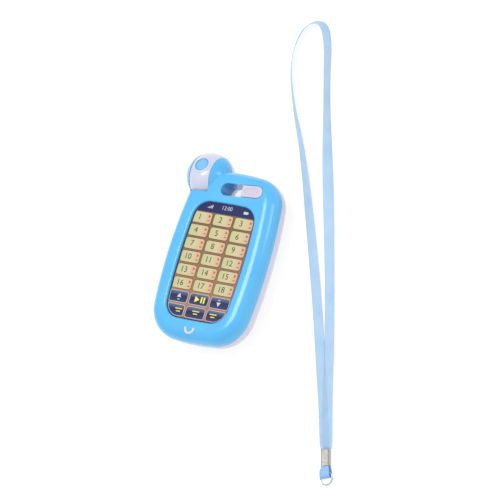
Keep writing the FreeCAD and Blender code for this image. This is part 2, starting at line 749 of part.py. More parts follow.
def front_casing():
    outer = fuse("front_outer", [
        case_block("front_block", as_size(0), parting, key_side, size("front_rounding"), key_side),
        half_ball("front_ball", cheek_radius, True)])
    inset = size("case_wall")
    hollow = fuse("front_hollow", [
        case_block("front_inside", inset, parting - OVERRUN, key_side - inset,
                   size("front_rounding") - inset, key_side - inset),
        half_ball("front_ball_inside", cheek_radius - inset, True)])
    kept = fuse("front_kept", [
        bay_drum("front_bay_wall", bay_radius + size("bay_wall"), half_bay + size("cheek_wall")),
        hole_block("front_hole_wall", size("collar_wall"), size("partition_wall"), parting - OVERRUN, key_side),
        window_block("window_collar", size("collar_wall"), film_top, key_side),
        bosses("front_bosses", case_spots, size("boss_radius"), parting - OVERRUN, key_side),
        bosses("board_bosses", board_spots, size("board_boss_radius"), spacer_low, key_side),
        at_slot(bosses("switch_posts", post_spots, size("switch_post_radius"), switch_board_top, key_side))])
    tube = common("hole_tube", [lanyard_tube("tube_wall", size("collar_wall")), rear_outside("tube_end")])
    shell = fuse("front_shell", [cut("front_blank", outer, cut("front_room", hollow, kept)), tube])
    pilots = bosses("front_pilots", case_spots, size("screw_radius"), parting - OVERRUN,
                    size("screw_seat_height") + size("screw_length") + OVERRUN)
    board_pilots = bosses("board_pilots", board_spots, size("screw_radius"), spacer_low - OVERRUN,
                          board_low + size("board_screw_length"))
    post_pilots = at_slot(bosses("post_pilots", post_spots, size("screw_radius"), switch_board_top - OVERRUN,
                                 switch_board_top + size("board_screw_length") - size("board_thickness")))
    openings = fuse("front_openings", [
        window_block("window_opening", as_size(0), film_top - OVERRUN, key_side + OVERRUN),
        at_slot(slot_block("slot_opening", -slot_end, slot_end, slot_radius,
                           key_side - size("partition_drop"), key_side + OVERRUN)),
        hole_block("front_hole", as_size(0), as_size(0), size("funnel_height"), key_side + OVERRUN),
        funnel("funnel_mouth", as_size(0), -OVERRUN),
        bay_drum("front_bay", bay_radius, half_bay), pilots, board_pilots, post_pilots, smile("smile_groove")]
        + shaft_holes("front"))
    casing = cut("front_cut", shell, openings)
    doc.recompute()
    rounded = rim_rounding("front_casing", casing, size("window_rounding").value, key_side.value)
    return node(rounded, "front_casing")


def rim_rounding(name, base, radius, height):
    """Round the rim of the window where it meets the key side."""
    limit = (size("window_width") / 2 + OVERRUN).value
    reach = size("window_length") / 2 + OVERRUN
    low = (-window_drop - reach).value
    high = (reach - window_drop).value
    picked = []
    for index, edge in enumerate(base.Shape.Edges, start=1):
        bounds = edge.BoundBox
        level = abs(bounds.ZMin - height) < LEVEL and abs(bounds.ZMax - height) < LEVEL
        inside = bounds.XMin > -limit and bounds.XMax < limit and bounds.YMin > low and bounds.YMax < high
        if level and inside:
            picked.append((index, radius, radius))
    obj = doc.addObject("Part::Fillet", name)
    obj.Base = base
    obj.Edges = picked
    return obj


def smile(name):
    """An arc of round wire, open towards the window."""
    arc = doc.addObject("Part::Torus", name)
    bind(arc, "Radius1", size("smile_radius"))
    bind(arc, "Radius2", size("smile_wire"))
    bind(arc, "Angle3", size("smile_spread"))
    return place(arc, 0, -smile_drop, key_side - size("smile_sink"), "Z", -size("smile_spread") / 2 - 90)


def rear_outside(name):
    """The rear shell's outer form, from the back to the parting line."""
    return case_block(name, size("rear_inset"), as_size(0), parting, size("rear_rounding"), as_size(0))


def lanyard_tube(name, grow):
    """The lanyard hole below the parting line, grown by a wall: straight, then flared at the back."""
    above = size("funnel_height") - OVERRUN
    straight = hole_block(name + "_straight", grow, grow, above, parting)
    return fuse(name, [straight, funnel(name + "_flare", grow, as_size(0))])


def funnel(name, grow, low):
    """The flared rear mouth of the lanyard hole; grow is the wall round it."""
    body = doc.addObject("PartDesign::Body", name)
    width = size("hole_length")
    deep = size("slot_width")
    middle = hole_right - width / 2
    upper = sketch_on(body, name + "_upper", middle, 0, size("funnel_height"))
    rounded_rectangle(upper, width + grow * 2, deep + grow * 2, slot_radius + grow - size("corner_slack"))
    lower = sketch_on(body, name + "_lower", middle - size("funnel_shift"), 0, low)
    mouth_width = width + size("funnel_spread_x") + grow * 2
    mouth_deep = deep + size("funnel_spread_y") + grow * 2
    rounded_rectangle(lower, mouth_width, mouth_deep, slot_radius + grow + size("funnel_corner_step"))
    loft = body.newObject("PartDesign::AdditiveLoft", name + "_loft")
    loft.Profile = upper
    loft.Sections = [lower]
    loft.Ruled = True
    doc.recompute()
    return at_slot(body)


def sound_holes():
    """Rings of round holes over the loudspeaker, each with six more holes than the one inside it."""
    spots = [(0.0, 0.0)]
    for ring in range(1, SOUND_RINGS + 1):
        holes = HOLES_A_RING * ring
        for step in range(holes):
            angle = 2 * math.pi * step / holes
            spots.append((ring * math.cos(angle), ring * math.sin(angle)))
    pitch = size("sound_ring_pitch")
    return bosses("sound_holes", [(pitch * x, pitch * y + size("speaker_middle_y")) for x, y in spots],
                  size("sound_hole_radius"), -OVERRUN, size("case_wall") + OVERRUN)


bay_top = size("door_thickness") + size("bay_height")
seat = size("screw_seat_height")


def rear_casing():
    inset = size("rear_inset") + size("case_wall")
    outer = fuse("rear_outer", [rear_outside("rear_block"), half_ball("rear_ball", cheek_radius, False)])
    hollow = fuse("rear_hollow", [
        case_block("rear_inside", inset, size("case_wall"), parting + OVERRUN,
                   size("rear_rounding") - size("case_wall"), size("case_wall")),
        half_ball("rear_ball_inside", cheek_radius - size("case_wall"), False)])
    lining = size("bay_lining") * 2
    ledge = size("door_ledge")
    seat_ring = cut("speaker_seat",
                    cylinder("seat_outer", size("speaker_radius") + size("speaker_seat_wall"),
                             size("speaker_depth"), 0, size("speaker_middle_y"), 0),
                    cylinder("seat_inner", size("speaker_radius"), size("speaker_depth") + OVERRUN,
                             0, size("speaker_middle_y"), 0))
    kept = fuse("rear_kept", [
        bay_drum("rear_bay_wall", bay_radius + size("bay_wall"), half_bay + size("cheek_wall")),
        bosses("rear_bosses", case_spots, size("counterbore_radius") + size("counterbore_wall"),
               as_size(0), parting + OVERRUN),
        bosses("door_boss", [(as_size(0), door_screw_y)], size("boss_radius"), as_size(0), bay_top),
        box("battery_lining", bay_width + lining, bay_length + lining, bay_top + size("bay_roof"),
            0, size("bay_middle_y"), 0),
        rounded_plate("door_frame", door_width + ledge * 2, door_length + ledge * 2,
                      size("door_corner_radius") + ledge, as_size(0), size("door_thickness") + ledge,
                      y=door_middle_y),
        seat_ring])
    shell = cut("rear_shell", outer, cut("rear_room", hollow, kept))
    openings = fuse("rear_openings", [
        bay_drum("rear_bay", bay_radius, half_bay),
        box("bay_mouth", half_bay * 2, cheek_radius * 2, parting, drum_x,
            drum_y - size("bay_mouth_reach") + cheek_radius, -OVERRUN),
        lanyard_tube("tube_passage", size("collar_wall") + size("rest_gap")),
        bosses("rear_screw_holes", case_spots, size("screw_radius") + size("running_gap"),
               as_size(0), parting + OVERRUN),
        bosses("rear_counterbores", case_spots, size("counterbore_radius"), -OVERRUN, seat),
        bosses("door_pilot", [(as_size(0), door_screw_y)], size("screw_radius") + size("running_gap"),
               as_size(0), bay_top - OVERRUN),
        box("battery_room", bay_width, bay_length, bay_top + OVERRUN, 0, size("bay_middle_y"), -OVERRUN),
        rounded_plate("door_recess", door_width, door_length, size("door_corner_radius"),
                      -OVERRUN, size("door_thickness") + OVERRUN, y=door_middle_y),
        sound_holes()] + shaft_holes("rear"))
    return node(cut("rear_cut", shell, openings), "rear_casing")


def case_screws():
    screws = [screw("case_screw_%d" % i, x, y, seat, size("screw_head_height"), size("screw_length"))
              for i, (x, y) in enumerate(case_spots, start=1)]
    node(group("case_screw_set", screws), "case_screws")


front_casing()
rear_casing()
case_screws()

# ---- Key film, circuit boards and what is on them --------------------------------------------------

margin = size("film_margin")
node(window_block("film", margin, film_low, film_top), "key_film")
node(window_block("upper_sheet", margin, sheet_low, film_low), "contact_sheet")


def spacer():
    """The spacer sheet, with a window for each column of contacts."""
    sheet_blank = window_block("spacer_blank", margin, spacer_low, sheet_low)
    pitch = size("window_width") / size("key_columns")
    long = size("window_length") - size("spacer_end") * 2
    first = -pitch * (size("key_columns") - 1) / 2
    low = spacer_low - size("running_gap")
    columns = [box("spacer_column_%d" % i, pitch - size("spacer_web"), long, OVERRUN,
                   first + pitch * i, -window_drop, low) for i in range(int(SIZES["key_columns"]))]
    node(cut("spacer", sheet_blank, fuse("spacer_windows", columns)), "contact_spacer")


spacer()


def main_board():
    plate = rounded_plate("board_plate", board_width, board_length, size("board_corner_radius"),
                          board_low, size("board_thickness"), y=-board_drop)
    notches = bosses("board_notches", side_spots, size("boss_radius") + size("notch_gap"), board_low - OVERRUN,
                     spacer_low + OVERRUN)
    holes = bosses("board_holes", board_spots, size("screw_radius"), board_low - OVERRUN, spacer_low + OVERRUN)
    node(cut("board", plate, fuse("board_cuts", [notches, holes])), "main_circuit_board")
    head = size("screw_head_height")
    screws = [screw("board_screw_%d" % i, x, y, board_low, head, size("board_screw_length"))
              for i, (x, y) in enumerate(board_spots, start=1)]
    node(group("board_screw_set", screws), "board_screws")


def board_parts():
    """What hangs under the main board."""
    chip = size("chip_height")
    node(cylinder("blob", size("chip_radius"), chip, -size("chip_offset"), 0, board_low - chip), "sound_chip")
    can_low = board_low - size("capacitor_length")
    node(cylinder("can", size("capacitor_radius"), size("capacitor_length"), size("capacitor_offset"),
                  -size("capacitor_drop"), can_low), "capacitor")
    tall = size("resistor_height")
    long, wide = size("resistor_length"), size("resistor_width")
    chips = [box("resistor_%d" % i, long, wide, tall, size("resistor_offset"),
                 size("resistor_start") + size("resistor_pitch") * i, board_low - tall)
             for i in range(int(SIZES["resistor_count"]))]
    node(group("resistor_set", chips), "resistors")


main_board()
board_parts()


def push_button():
    """The cap on its switch, and the small board that holds the switch."""
    gap = size("button_gap")
    top = cap_low + size("button_height")
    middle = size("button_middle")
    cap = slot_block("cap_block", hole_right + gap / 2, slot_end - gap, slot_radius - gap, cap_low, top, True)
    ear_top = key_side - size("case_wall") - size("button_ear_drop")
    ears = box("cap_ears", size("button_ear_length"), (slot_radius + size("button_ear_reach")) * 2,
               size("button_ear_thickness"), middle, 0, ear_top - size("button_ear_thickness"))
    stem = cylinder("cap_stem", size("stem_radius"), size("stem_length") + OVERRUN, middle, 0, plunger_top)
    reach = size("button_dish_length") / 2
    dish = slot_block("cap_dish", middle - reach, middle + reach, size("button_dish_width") / 2,
                      top - size("button_dish_depth"), top + OVERRUN)
    solid = cut("cap_solid", fuse("cap_parts", [cap, ears, stem]), dish)
    doc.recompute()
    rounded = rim_rounding_at("power_button", solid, size("button_rounding").value, top.value)
    node(at_slot(rounded), "power_button")
    side = size("switch_width")
    bore = size("plunger_length") - size("plunger_rise") + size("button_travel") + size("running_gap")
    hole = cylinder("switch_bore", size("plunger_radius") + size("running_gap"), bore + OVERRUN,
                    middle, 0, switch_top - bore)
    case = box("switch_case", side, side, size("switch_height"), middle, 0, switch_board_top)
    node(at_slot(cut("switch", case, hole)), "tact_switch")
    plunger = cylinder("plunger", size("plunger_radius"), size("plunger_length"), middle, 0,
                       plunger_top - size("plunger_length"))
    node(at_slot(group("plunger_set", [plunger])), "switch_plunger")
    thick = size("board_thickness")
    plate = box("switch_plate", size("switch_board_width"), size("switch_board_length"), thick, middle, 0,
                switch_board_top - thick)
    holes = bosses("switch_board_holes", post_spots, size("screw_radius"), switch_board_top - thick * 2,
                   switch_board_top + OVERRUN)
    node(at_slot(cut("switch_board_cut", plate, holes)), "switch_board")
    screws = [screw("switch_screw_%d" % i, x, y, switch_board_top - thick, size("screw_head_height"),
                    size("board_screw_length")) for i, (x, y) in enumerate(post_spots, start=1)]
    node(at_slot(group("switch_screw_set", screws)), "switch_board_screws")


def rim_rounding_at(name, base, radius, height):
    """Round the outer edge of a cap's top; the dish's edge stays sharp."""
    dish = size("button_dish_width").value / 2
    picked = []
    for index, edge in enumerate(base.Shape.Edges, start=1):
        bounds = edge.BoundBox
        level = abs(bounds.ZMin - height) < LEVEL and abs(bounds.ZMax - height) < LEVEL
        reach = max(abs(bounds.YMin), abs(bounds.YMax))
        if level and reach > dish + LEVEL:
            picked.append((index, radius, radius))
    obj = doc.addObject("Part::Fillet", name)
    obj.Base = base
    obj.Edges = picked
    return obj


push_button()
node(smile("smile_arc"), "smile_mark")

# ---- Lamp drum -------------------------------------------------------------------------------------


def drum():
    radius = size("drum_radius")
    half = size("drum_width") / 2
    wall = size("drum_wall")
    cap = size("end_cap_thickness")
    skin = common("drum_skin", [sphere("drum_ball", radius),
                                cylinder("drum_slab", radius + OVERRUN, half * 2, -half, 0, 0, "X")])
    inside = half * 2 - wall - cap
    room = common("drum_room", [sphere("drum_inner_ball", radius - wall),
                                cylinder("drum_inner_slab", radius, inside, wall - half, 0, 0, "X")])
    mouth = cylinder("drum_mouth", size("end_cap_radius"), cap + OVERRUN, half - cap, 0, 0, "X")
    reach = half_bay + size("cheek_wall") - size("rest_gap")
    pivot = cylinder("drum_pivot", size("pivot_radius"), reach - half + wall / 2, -reach, 0, 0, "X")
    solid = fuse("drum_solid", [skin, pivot])
    bore = place(fuse("lens_seat", [
        cylinder("lens_bore", size("lens_radius"), radius, 0, 0, radius / 2), lens_torus("ring_groove")]),
        0, 0, 0, "X", size("lens_tilt") - 90)
    node(at_drum(cut("drum", solid, fuse("drum_cuts", [room, mouth, bore]))), "lens_drum")
    disc = cylinder("cap_disc", size("end_cap_radius"), cap, half - cap, 0, 0, "X")
    hub = cylinder("cap_bore", size("hub_radius") + size("running_gap"), cap + OVERRUN * 2,
                   half - cap - OVERRUN, 0, 0, "X")
    node(at_drum(cut("drum_cap", disc, hub)), "drum_end_cap")
    outer = radius - size("lens_inset")
    lens = common("lens", [sphere("lens_ball", outer),
                           cylinder("lens_rod", size("lens_radius"), radius, 0, 0,
                                    outer - size("lens_thickness"))])
    node(at_lens(lens), "drum_lens")
    node(at_lens(group("lens_ring_set", [lens_torus("ring")])), "lens_ring")


def lens_torus(name):
    """The raised ring round the lens, drawn about the drum's middle with the lens straight up."""
    ring = doc.addObject("Part::Torus", name)
    bind(ring, "Radius1", size("lens_ring_radius"))
    bind(ring, "Radius2", size("lens_ring_wire"))
    return place(ring, 0, 0, ring_height)


def at_lens(obj):
    """Carry a shape drawn about the drum's middle to the drum and tilt it with the lens."""
    return place(obj, drum_x, drum_y, drum_z, "X", size("lens_tilt") - 90)


def lamp():
    """The fixed holder that the drum turns on, and the lamp in its end."""
    reach = half_bay + size("cheek_wall")
    flange = size("hub_flange_thickness")
    tip = size("hub_reach")
    body = fuse("holder_body", [
        cylinder("holder_tube", size("hub_radius"), reach + flange + tip, -tip, 0, 0, "X"),
        cylinder("holder_flange", size("hub_radius") + size("hub_flange_reach"), flange, reach, 0, 0, "X")])
    past = reach + flange + OVERRUN
    bore = cylinder("holder_bore", size("led_radius"), past * 2, -past, 0, 0, "X")
    node(at_drum(cut("holder", body, bore)), "lamp_holder")
    start = -tip - size("led_rise")
    node(at_drum(fuse("led", [cylinder("led_rod", size("led_radius"), size("led_length"), start, 0, 0, "X"),
                              sphere("led_dome", size("led_radius"), start, 0, 0)])), "lamp_led")


drum()
lamp()

# ---- Battery compartment ---------------------------------------------------------------------------

cell_z = size("door_thickness") + size("cell_radius") + size("rest_gap")
far_end = bay_length / 2


def batteries():
    """Cells in series: every second one faces the other way, with its spring at the flat end."""
    count = int(SIZES["cell_count"])
    cells = []
    plates = []
    springs = []
    thin = size("plate_thickness")
    clear = size("spring_clearance")
    room = size("spring_room")
    for index in range(count):
        x = size("cell_pitch") * (index - (count - 1) / 2)
        way = 1 if index % 2 == 0 else -1
        nub_end = size("bay_middle_y") + (far_end - thin) * way
        shoulder = nub_end - size("nub_height") * way
        low_end = shoulder - size("cell_length") if way > 0 else shoulder
        can = cylinder("cell_can_%d" % index, size("cell_radius"), size("cell_length"), x, low_end, cell_z, "Y")
        nub_start = shoulder if way > 0 else shoulder - size("nub_height")
        nub = cylinder("cell_nub_%d" % index, size("nub_radius"), size("nub_height"), x, nub_start, cell_z, "Y")
        cells.append(fuse("cell_%d" % index, [can, nub]))
        for side in (1, -1):
            plates.append(box("plate_%d_%d" % (index, side + 1), size("plate_width"), thin,
                              size("plate_width"), x, size("bay_middle_y") + (far_end - thin / 2) * side,
                              size("door_thickness") + size("rest_gap") * 2))
        flat_end = shoulder - size("cell_length") * way
        base = (flat_end - room if way > 0 else flat_end) + clear
        turned = FreeCAD.Placement(Vector(x.value, base.value, cell_z.value), FreeCAD.Rotation(AXIS["X"], -90))
        wound = bent_coil(size("spring_radius").value, size("spring_wire").value, size("spring_turns").value,
                          (room - clear * 2).value)
        springs.append(shaped("spring_%d" % index, wound, turned))
    node(group("cell_set", cells), "battery_cells")
    node(group("plate_set", plates), "battery_contacts")
    node(group("spring_set", springs), "battery_springs")


def battery_door():
    gap = size("door_gap") * 2
    thick = size("door_thickness")
    plate = rounded_plate("door_plate", door_width - gap, door_length - gap,
                          size("door_corner_radius"), as_size(0), thick, y=door_middle_y)
    tab_x = bay_width / 2 - size("door_gap") - size("tab_thickness") / 2
    tabs = [box("tab_%d_%d" % (side + 1, end + 1), size("tab_thickness"), size("tab_width"),
                size("tab_height") + thick / 2, tab_x * side, size("bay_middle_y") + bay_length / 4 * end,
                thick / 2) for side in (1, -1) for end in (1, -1)]
    head = size("door_screw_head_height")
    spot = [(as_size(0), door_screw_y)]
    holes = fuse("door_holes", [
        bosses("door_hole", spot, size("screw_radius"), -OVERRUN, thick + OVERRUN),
        bosses("door_counterbore", spot, size("screw_head_radius"), -OVERRUN, head)])
    node(cut("door", fuse("door_blank", [plate] + tabs), holes), "battery_door")
    node(screw("door_screw", as_size(0), door_screw_y, head, head, size("door_screw_length")),
         "battery_door_screw")


batteries()
battery_door()

# ---- Loudspeaker -----------------------------------------------------------------------------------


def cone(name, low_radius, high_radius, height, z):
    obj = doc.addObject("Part::Cone", name)
    bind(obj, "Radius1", low_radius)
    bind(obj, "Radius2", high_radius)
    bind(obj, "Height", height)
    return place(obj, 0, size("speaker_middle_y"), z)


def loudspeaker():
    floor = size("case_wall")
    rim = size("speaker_rim")
    wall = size("basket_wall")
    outer = size("speaker_radius")
    small = size("magnet_radius")
    depth = size("speaker_depth")
    flange = size("speaker_flange")
    basket = fuse("basket_outer", [
        cylinder("basket_flange", outer, flange, 0, size("speaker_middle_y"), floor),
        cone("basket_cone", outer - rim / 2, small, depth - flange, floor + flange)])
    inner = fuse("basket_inner", [
        cylinder("basket_mouth", outer - rim, flange, 0, size("speaker_middle_y"), floor),
        cone("basket_hollow", outer - rim - wall, small - wall, depth - flange, floor + flange)])
    node(cut("basket", basket, inner), "speaker_frame")
    node(cylinder("magnet", small, size("magnet_depth"), 0, size("speaker_middle_y"), floor + depth),
         "speaker_magnet")
    thin = size("cone_wall")
    drop = depth - thin * 2
    low = floor + thin
    mouth = outer - rim - size("surround_width")
    cap = size("dust_cap_radius")
    middle = size("speaker_middle_y")
    paper = cut("paper", cone("paper_outer", mouth, cap, drop, low),
                cone("paper_inner", mouth - thin, cap - thin, drop, low))
    ring = cut("surround", cylinder("surround_outer", outer - rim, thin, 0, middle, low),
               cylinder("surround_inner", mouth - thin, flange, 0, middle, low - thin / 2))
    dome = cylinder("dust_cap", cap, thin, 0, middle, low + drop)
    node(fuse("cone_set", [paper, ring, dome]), "speaker_cone")


loudspeaker()

# ---- Wires inside the case -------------------------------------------------------------------------


def wire_pair(label, routes):
    """Two insulated wires, each bent round its own few points."""
    radius = size("wire_radius").value
    solids = [shaped("%s_%d" % (label, i), tube([Vector(*spot) for spot in route], radius)[0])
              for i, route in enumerate(routes, start=1)]
    node(group(label + "_set", solids), label)


def wires():
    """Every wire leaves one terminal straight and meets a board from below."""
    clear = size("wire_clearance").value
    lead = size("wire_lead").value
    spread = size("wire_spread").value
    under = board_low.value - clear
    pair = (1, -1)

    magnet_side = size("speaker_middle_y").value - size("magnet_radius").value - spread
    basket_top = size("case_wall").value + size("speaker_depth").value
    board_spot = magnet_side - lead
    wire_pair("speaker_wires", [[
        (spread * k, magnet_side, basket_top), (spread * k, magnet_side, basket_top + lead),
        (2 * spread * k, board_spot, under - lead), (2 * spread * k, board_spot, under)] for k in pair])

    roof = (bay_top + size("bay_roof")).value + clear
    end_y = (size("bay_middle_y") + far_end).value
    tab_x = size("cell_pitch").value
    wire_pair("battery_wires", [[
        (tab_x * k, end_y - lead, roof), (tab_x * k, end_y - lead, roof + lead),
        ((tab_x + spread) * k, end_y, under - lead), ((tab_x + spread) * k, end_y, under)] for k in pair])

    board_end = (board_length / 2 - board_drop).value
    landing = board_end - spread
    holder_end = (drum_x + half_bay + size("cheek_wall") + size("hub_flange_thickness")).value
    lamp_y, lamp_z = drum_y.value, parting.value
    half = spread / 2
    wire_pair("lamp_wires", [[
        (holder_end - spread, lamp_y + half * k, lamp_z), (holder_end + spread, lamp_y + half * k, lamp_z),
        (holder_end + 2 * spread + half * k, lamp_y - 2 * lead, lamp_z - spread / 2),
        (holder_end + spread + half * k, landing, lamp_z - spread / 2),
        (holder_end + spread + half * k, landing, under)] for k in pair])

    switch_low = (switch_board_top - size("board_thickness")).value - clear
    switch_x = (size("slot_middle_x") + size("button_middle") - size("switch_board_width") / 2).value + half
    switch_y = (slot_middle_y - slot_radius).value - half
    wire_pair("switch_wires", [[
        (switch_x + half * k, switch_y, switch_low), (switch_x + half * k, switch_y, switch_low - lead),
        (switch_x + half * k, landing, switch_low - lead), (switch_x + half * k, landing, under)]
        for k in pair])


wires()

# ---- Lanyard ---------------------------------------------------------------------------------------


def lanyard_place(y=0.0, z=0.0, turn=None):
    """From the crimp's own axes, Y along the crimp from the ribbon to the ring, to the floor."""
    facing = FreeCAD.Rotation(AXIS["Z"], CRIMP_TURN)
    ends = (Vector(*RIBBON_ROUTE[0]) + Vector(*RIBBON_ROUTE[-1])) / 2
    top = Vector(ends.x, ends.y, 0) + facing.multVec(Vector(0, size("crimp_gap").value, 0))
    stand = FreeCAD.Placement(top, facing)
    return stand.multiply(FreeCAD.Placement(Vector(0, y, z), turn or FreeCAD.Rotation()))


def lanyard():
    width = size("ribbon_width").value
    thick = size("ribbon_thickness").value
    radius = math.sqrt(width * thick / math.pi)
    ribbon, length, radii = tube([Vector(*spot) for spot in RIBBON_ROUTE], radius)
    print("ribbon: length %.1f, arc radii %s" % (length, ", ".join("%.1f" % r for r in radii)))
    print("ribbon: volume %.1f, section times length %.1f" % (ribbon.Volume, math.pi * radius ** 2 * length))
    node(shaped("ribbon", ribbon), "lanyard_ribbon")
    long = size("crimp_length").value
    tall = size("crimp_height").value
    block = Part.makeBox(size("crimp_width").value, long, tall, Vector(-size("crimp_width").value / 2, 0, 0))
    ridges = [edge for edge in block.Edges if edge.BoundBox.YLength > long / 2]
    rounded = block.makeFillet(size("crimp_rounding").value, ridges)
    node(shaped("crimp", rounded, lanyard_place()), "lanyard_crimp")
    loop_tall = size("end_loop_height").value
    loop_long = size("end_loop_length").value

    def stadium_bar(inset):
        """The end loop's side view as a bar across the ribbon."""
        rise = loop_tall / 2 - inset
        flat = Part.makeBox(width, loop_long - loop_tall, rise * 2,
                            Vector(-width / 2, long + loop_tall / 2, inset))
        ends = [Part.makeCylinder(rise, width, Vector(-width / 2, long + y, loop_tall / 2), AXIS["X"])
                for y in (loop_tall / 2, loop_long - loop_tall / 2)]
        return flat.fuse(ends).removeSplitter()

    node(shaped("end_loop", stadium_bar(0).cut(stadium_bar(thick)), lanyard_place()), "lanyard_end_loop")
    wire = size("ring_wire").value
    turns = size("ring_turns").value
    big = size("ring_radius").value
    clear = size("ring_clearance").value
    rise = wire * 2 + (wire * 2 + size("ring_turn_gap").value) * turns
    hinge_y = long + loop_long - thick / 2 - big
    clear_of_loop = big - math.sqrt(big ** 2 - (width / 2 + wire) ** 2)
    lean = (thick + clear) / (2 * big + wire - clear_of_loop) - clear / (2 * big)
    hinge_z = thick + clear + rise / 2 + clear_of_loop * lean
    spring_ring = coil(big, wire, turns, rise)
    spring_ring.translate(Vector(0, big, -rise / 2))
    tip = FreeCAD.Rotation(AXIS["X"], -math.degrees(math.asin(lean)))
    node(shaped("split_ring", spring_ring, lanyard_place(hinge_y, hinge_z, tip)), "split_ring")
    hinge = lanyard_place(hinge_y, hinge_z).Base
    print("ring hinge at %.4f %.4f %.4f" % (hinge.x, hinge.y, hinge.z))


lanyard()

# ---- Check every object, then write one STEP file for each node -------------------------------------

doc.recompute()
for obj in doc.Objects:
    if "Invalid" in obj.State or "Error" in obj.State:
        raise RuntimeError("%s did not compute: %s" % (obj.Label, obj.State))
os.makedirs("parts", exist_ok=True)
for obj in nodes:
    if obj.Shape.isNull() or not obj.Shape.isValid():
        raise RuntimeError("%s has no valid shape" % obj.Label)
    obj.Shape.exportStep("parts/%s.step" % obj.Label)
    print("%-22s %2d solids %10.1f mm3" % (obj.Label, len(obj.Shape.Solids), obj.Shape.Volume))
print("%d nodes" % len(nodes))
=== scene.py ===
# %% [markdown]
# # A toy cell phone and its ribbon lanyard
# The toy is a moulded two-shell case with a printed key film, a push button beside a hole for the
# lanyard, and a drum at the upper left that turns and carries a lamp behind a blue lens.  The solids
# come from the CAD frame.  This lesson gives them their plastics and metals, prints the keys, weaves
# the ribbon, and sets up the studio.  Everything is in metres in the CAD frame: X to the right of the
# keys, Y towards the drum, Z out of the key side, and the table at Z = 0.

# %% The frame and what every cell uses
import math

import bmesh
import bpy
from mathutils import Matrix, Vector


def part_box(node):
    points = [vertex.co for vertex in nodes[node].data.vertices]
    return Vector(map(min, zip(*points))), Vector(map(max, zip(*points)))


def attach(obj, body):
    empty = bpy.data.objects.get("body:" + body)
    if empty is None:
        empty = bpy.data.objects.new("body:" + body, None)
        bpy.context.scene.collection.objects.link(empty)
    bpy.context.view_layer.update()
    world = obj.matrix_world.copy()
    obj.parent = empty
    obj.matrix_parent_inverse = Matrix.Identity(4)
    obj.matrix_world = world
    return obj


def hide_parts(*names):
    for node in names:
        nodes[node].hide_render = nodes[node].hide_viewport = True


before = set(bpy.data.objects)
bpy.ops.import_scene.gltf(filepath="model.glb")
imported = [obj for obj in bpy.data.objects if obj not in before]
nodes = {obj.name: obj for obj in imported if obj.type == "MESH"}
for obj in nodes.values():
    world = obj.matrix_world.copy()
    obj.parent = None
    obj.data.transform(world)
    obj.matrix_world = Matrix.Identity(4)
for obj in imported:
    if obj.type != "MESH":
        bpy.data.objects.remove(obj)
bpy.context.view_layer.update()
MM = 0.001


def linear(hex_colour):
    """An sRGB hex colour as the linear RGBA that shaders want."""
    channels = [int(hex_colour[i:i + 2], 16) / 255 for i in (1, 3, 5)]
    return [c / 12.92 if c <= 0.04045 else ((c + 0.055) / 1.055) ** 2.4 for c in channels] + [1.0]


def add(tree, kind, links=None, stops=(), **settings):
    """Add a node.  A setting is an attribute of the node, or else the value of an input, whose name or
    index stands after "in_"; links joins inputs to other nodes' sockets, and stops gives a colour ramp
    its places and hex colours in rising order."""
    node = tree.nodes.new(kind)
    for place, colour in stops[1:-1]:
        node.color_ramp.elements.new(place)
    for element, (place, colour) in zip(node.color_ramp.elements if stops else (), stops):
        element.position, element.color = place, linear(colour)
    for key, value in settings.items():
        if key.startswith("in_"):
            name = key[3:].replace("_", " ")
            node.inputs[int(name) if name.isdigit() else name].default_value = value
        else:
            setattr(node, key, value)
    for key, socket in (links or {}).items():
        tree.links.new(socket, node.inputs[key])
    return node


# %% [markdown]
# ## The camera
# A very long lens from four and a half metres keeps the phone's sides nearly parallel.  The camera looks
# down on the table and is rolled, so that the lanyard hangs straight down the picture.  We give it as
# three directions: what is right, what is up, and what points back at the lens.

# %% Camera
AZIMUTH, ELEVATION, ROLL = (math.radians(degrees) for degrees in (72.56, 54.72, -58.74))
LOOKED_AT = Vector((0.0274, 0.0139, 0.0218))
DISTANCE = 4.5
FIELD = 0.4409              # what the frame shows across, at the object


def aim_camera(target, azimuth, elevation, roll):
    """A camera that looks at the target from an azimuth counted from -Y, turned about its own axis."""
    back = Vector((math.sin(azimuth) * math.cos(elevation), -math.cos(azimuth) * math.cos(elevation),
                   math.sin(elevation)))
    level = Vector((math.cos(azimuth), math.sin(azimuth), 0))
    rise = back.cross(level)
    right = level * math.cos(roll) + rise * math.sin(roll)
    up = rise * math.cos(roll) - level * math.sin(roll)
    data = bpy.data.cameras.new("studio_camera")
    data.lens = data.sensor_width * DISTANCE / FIELD
    camera = bpy.data.objects.new("studio_camera", data)
    turn = Matrix((right, up, back)).transposed().to_4x4()
    camera.matrix_world = Matrix.Translation(target + back * DISTANCE) @ turn
    bpy.context.scene.collection.objects.link(camera)
    bpy.context.scene.camera = camera
    return camera, right, up


camera, cam_right, cam_up = aim_camera(LOOKED_AT, AZIMUTH, ELEVATION, ROLL)
print("camera", [round(v, 3) for v in camera.location], "right", [round(v, 4) for v in cam_right],
      "up", [round(v, 4) for v in cam_up])
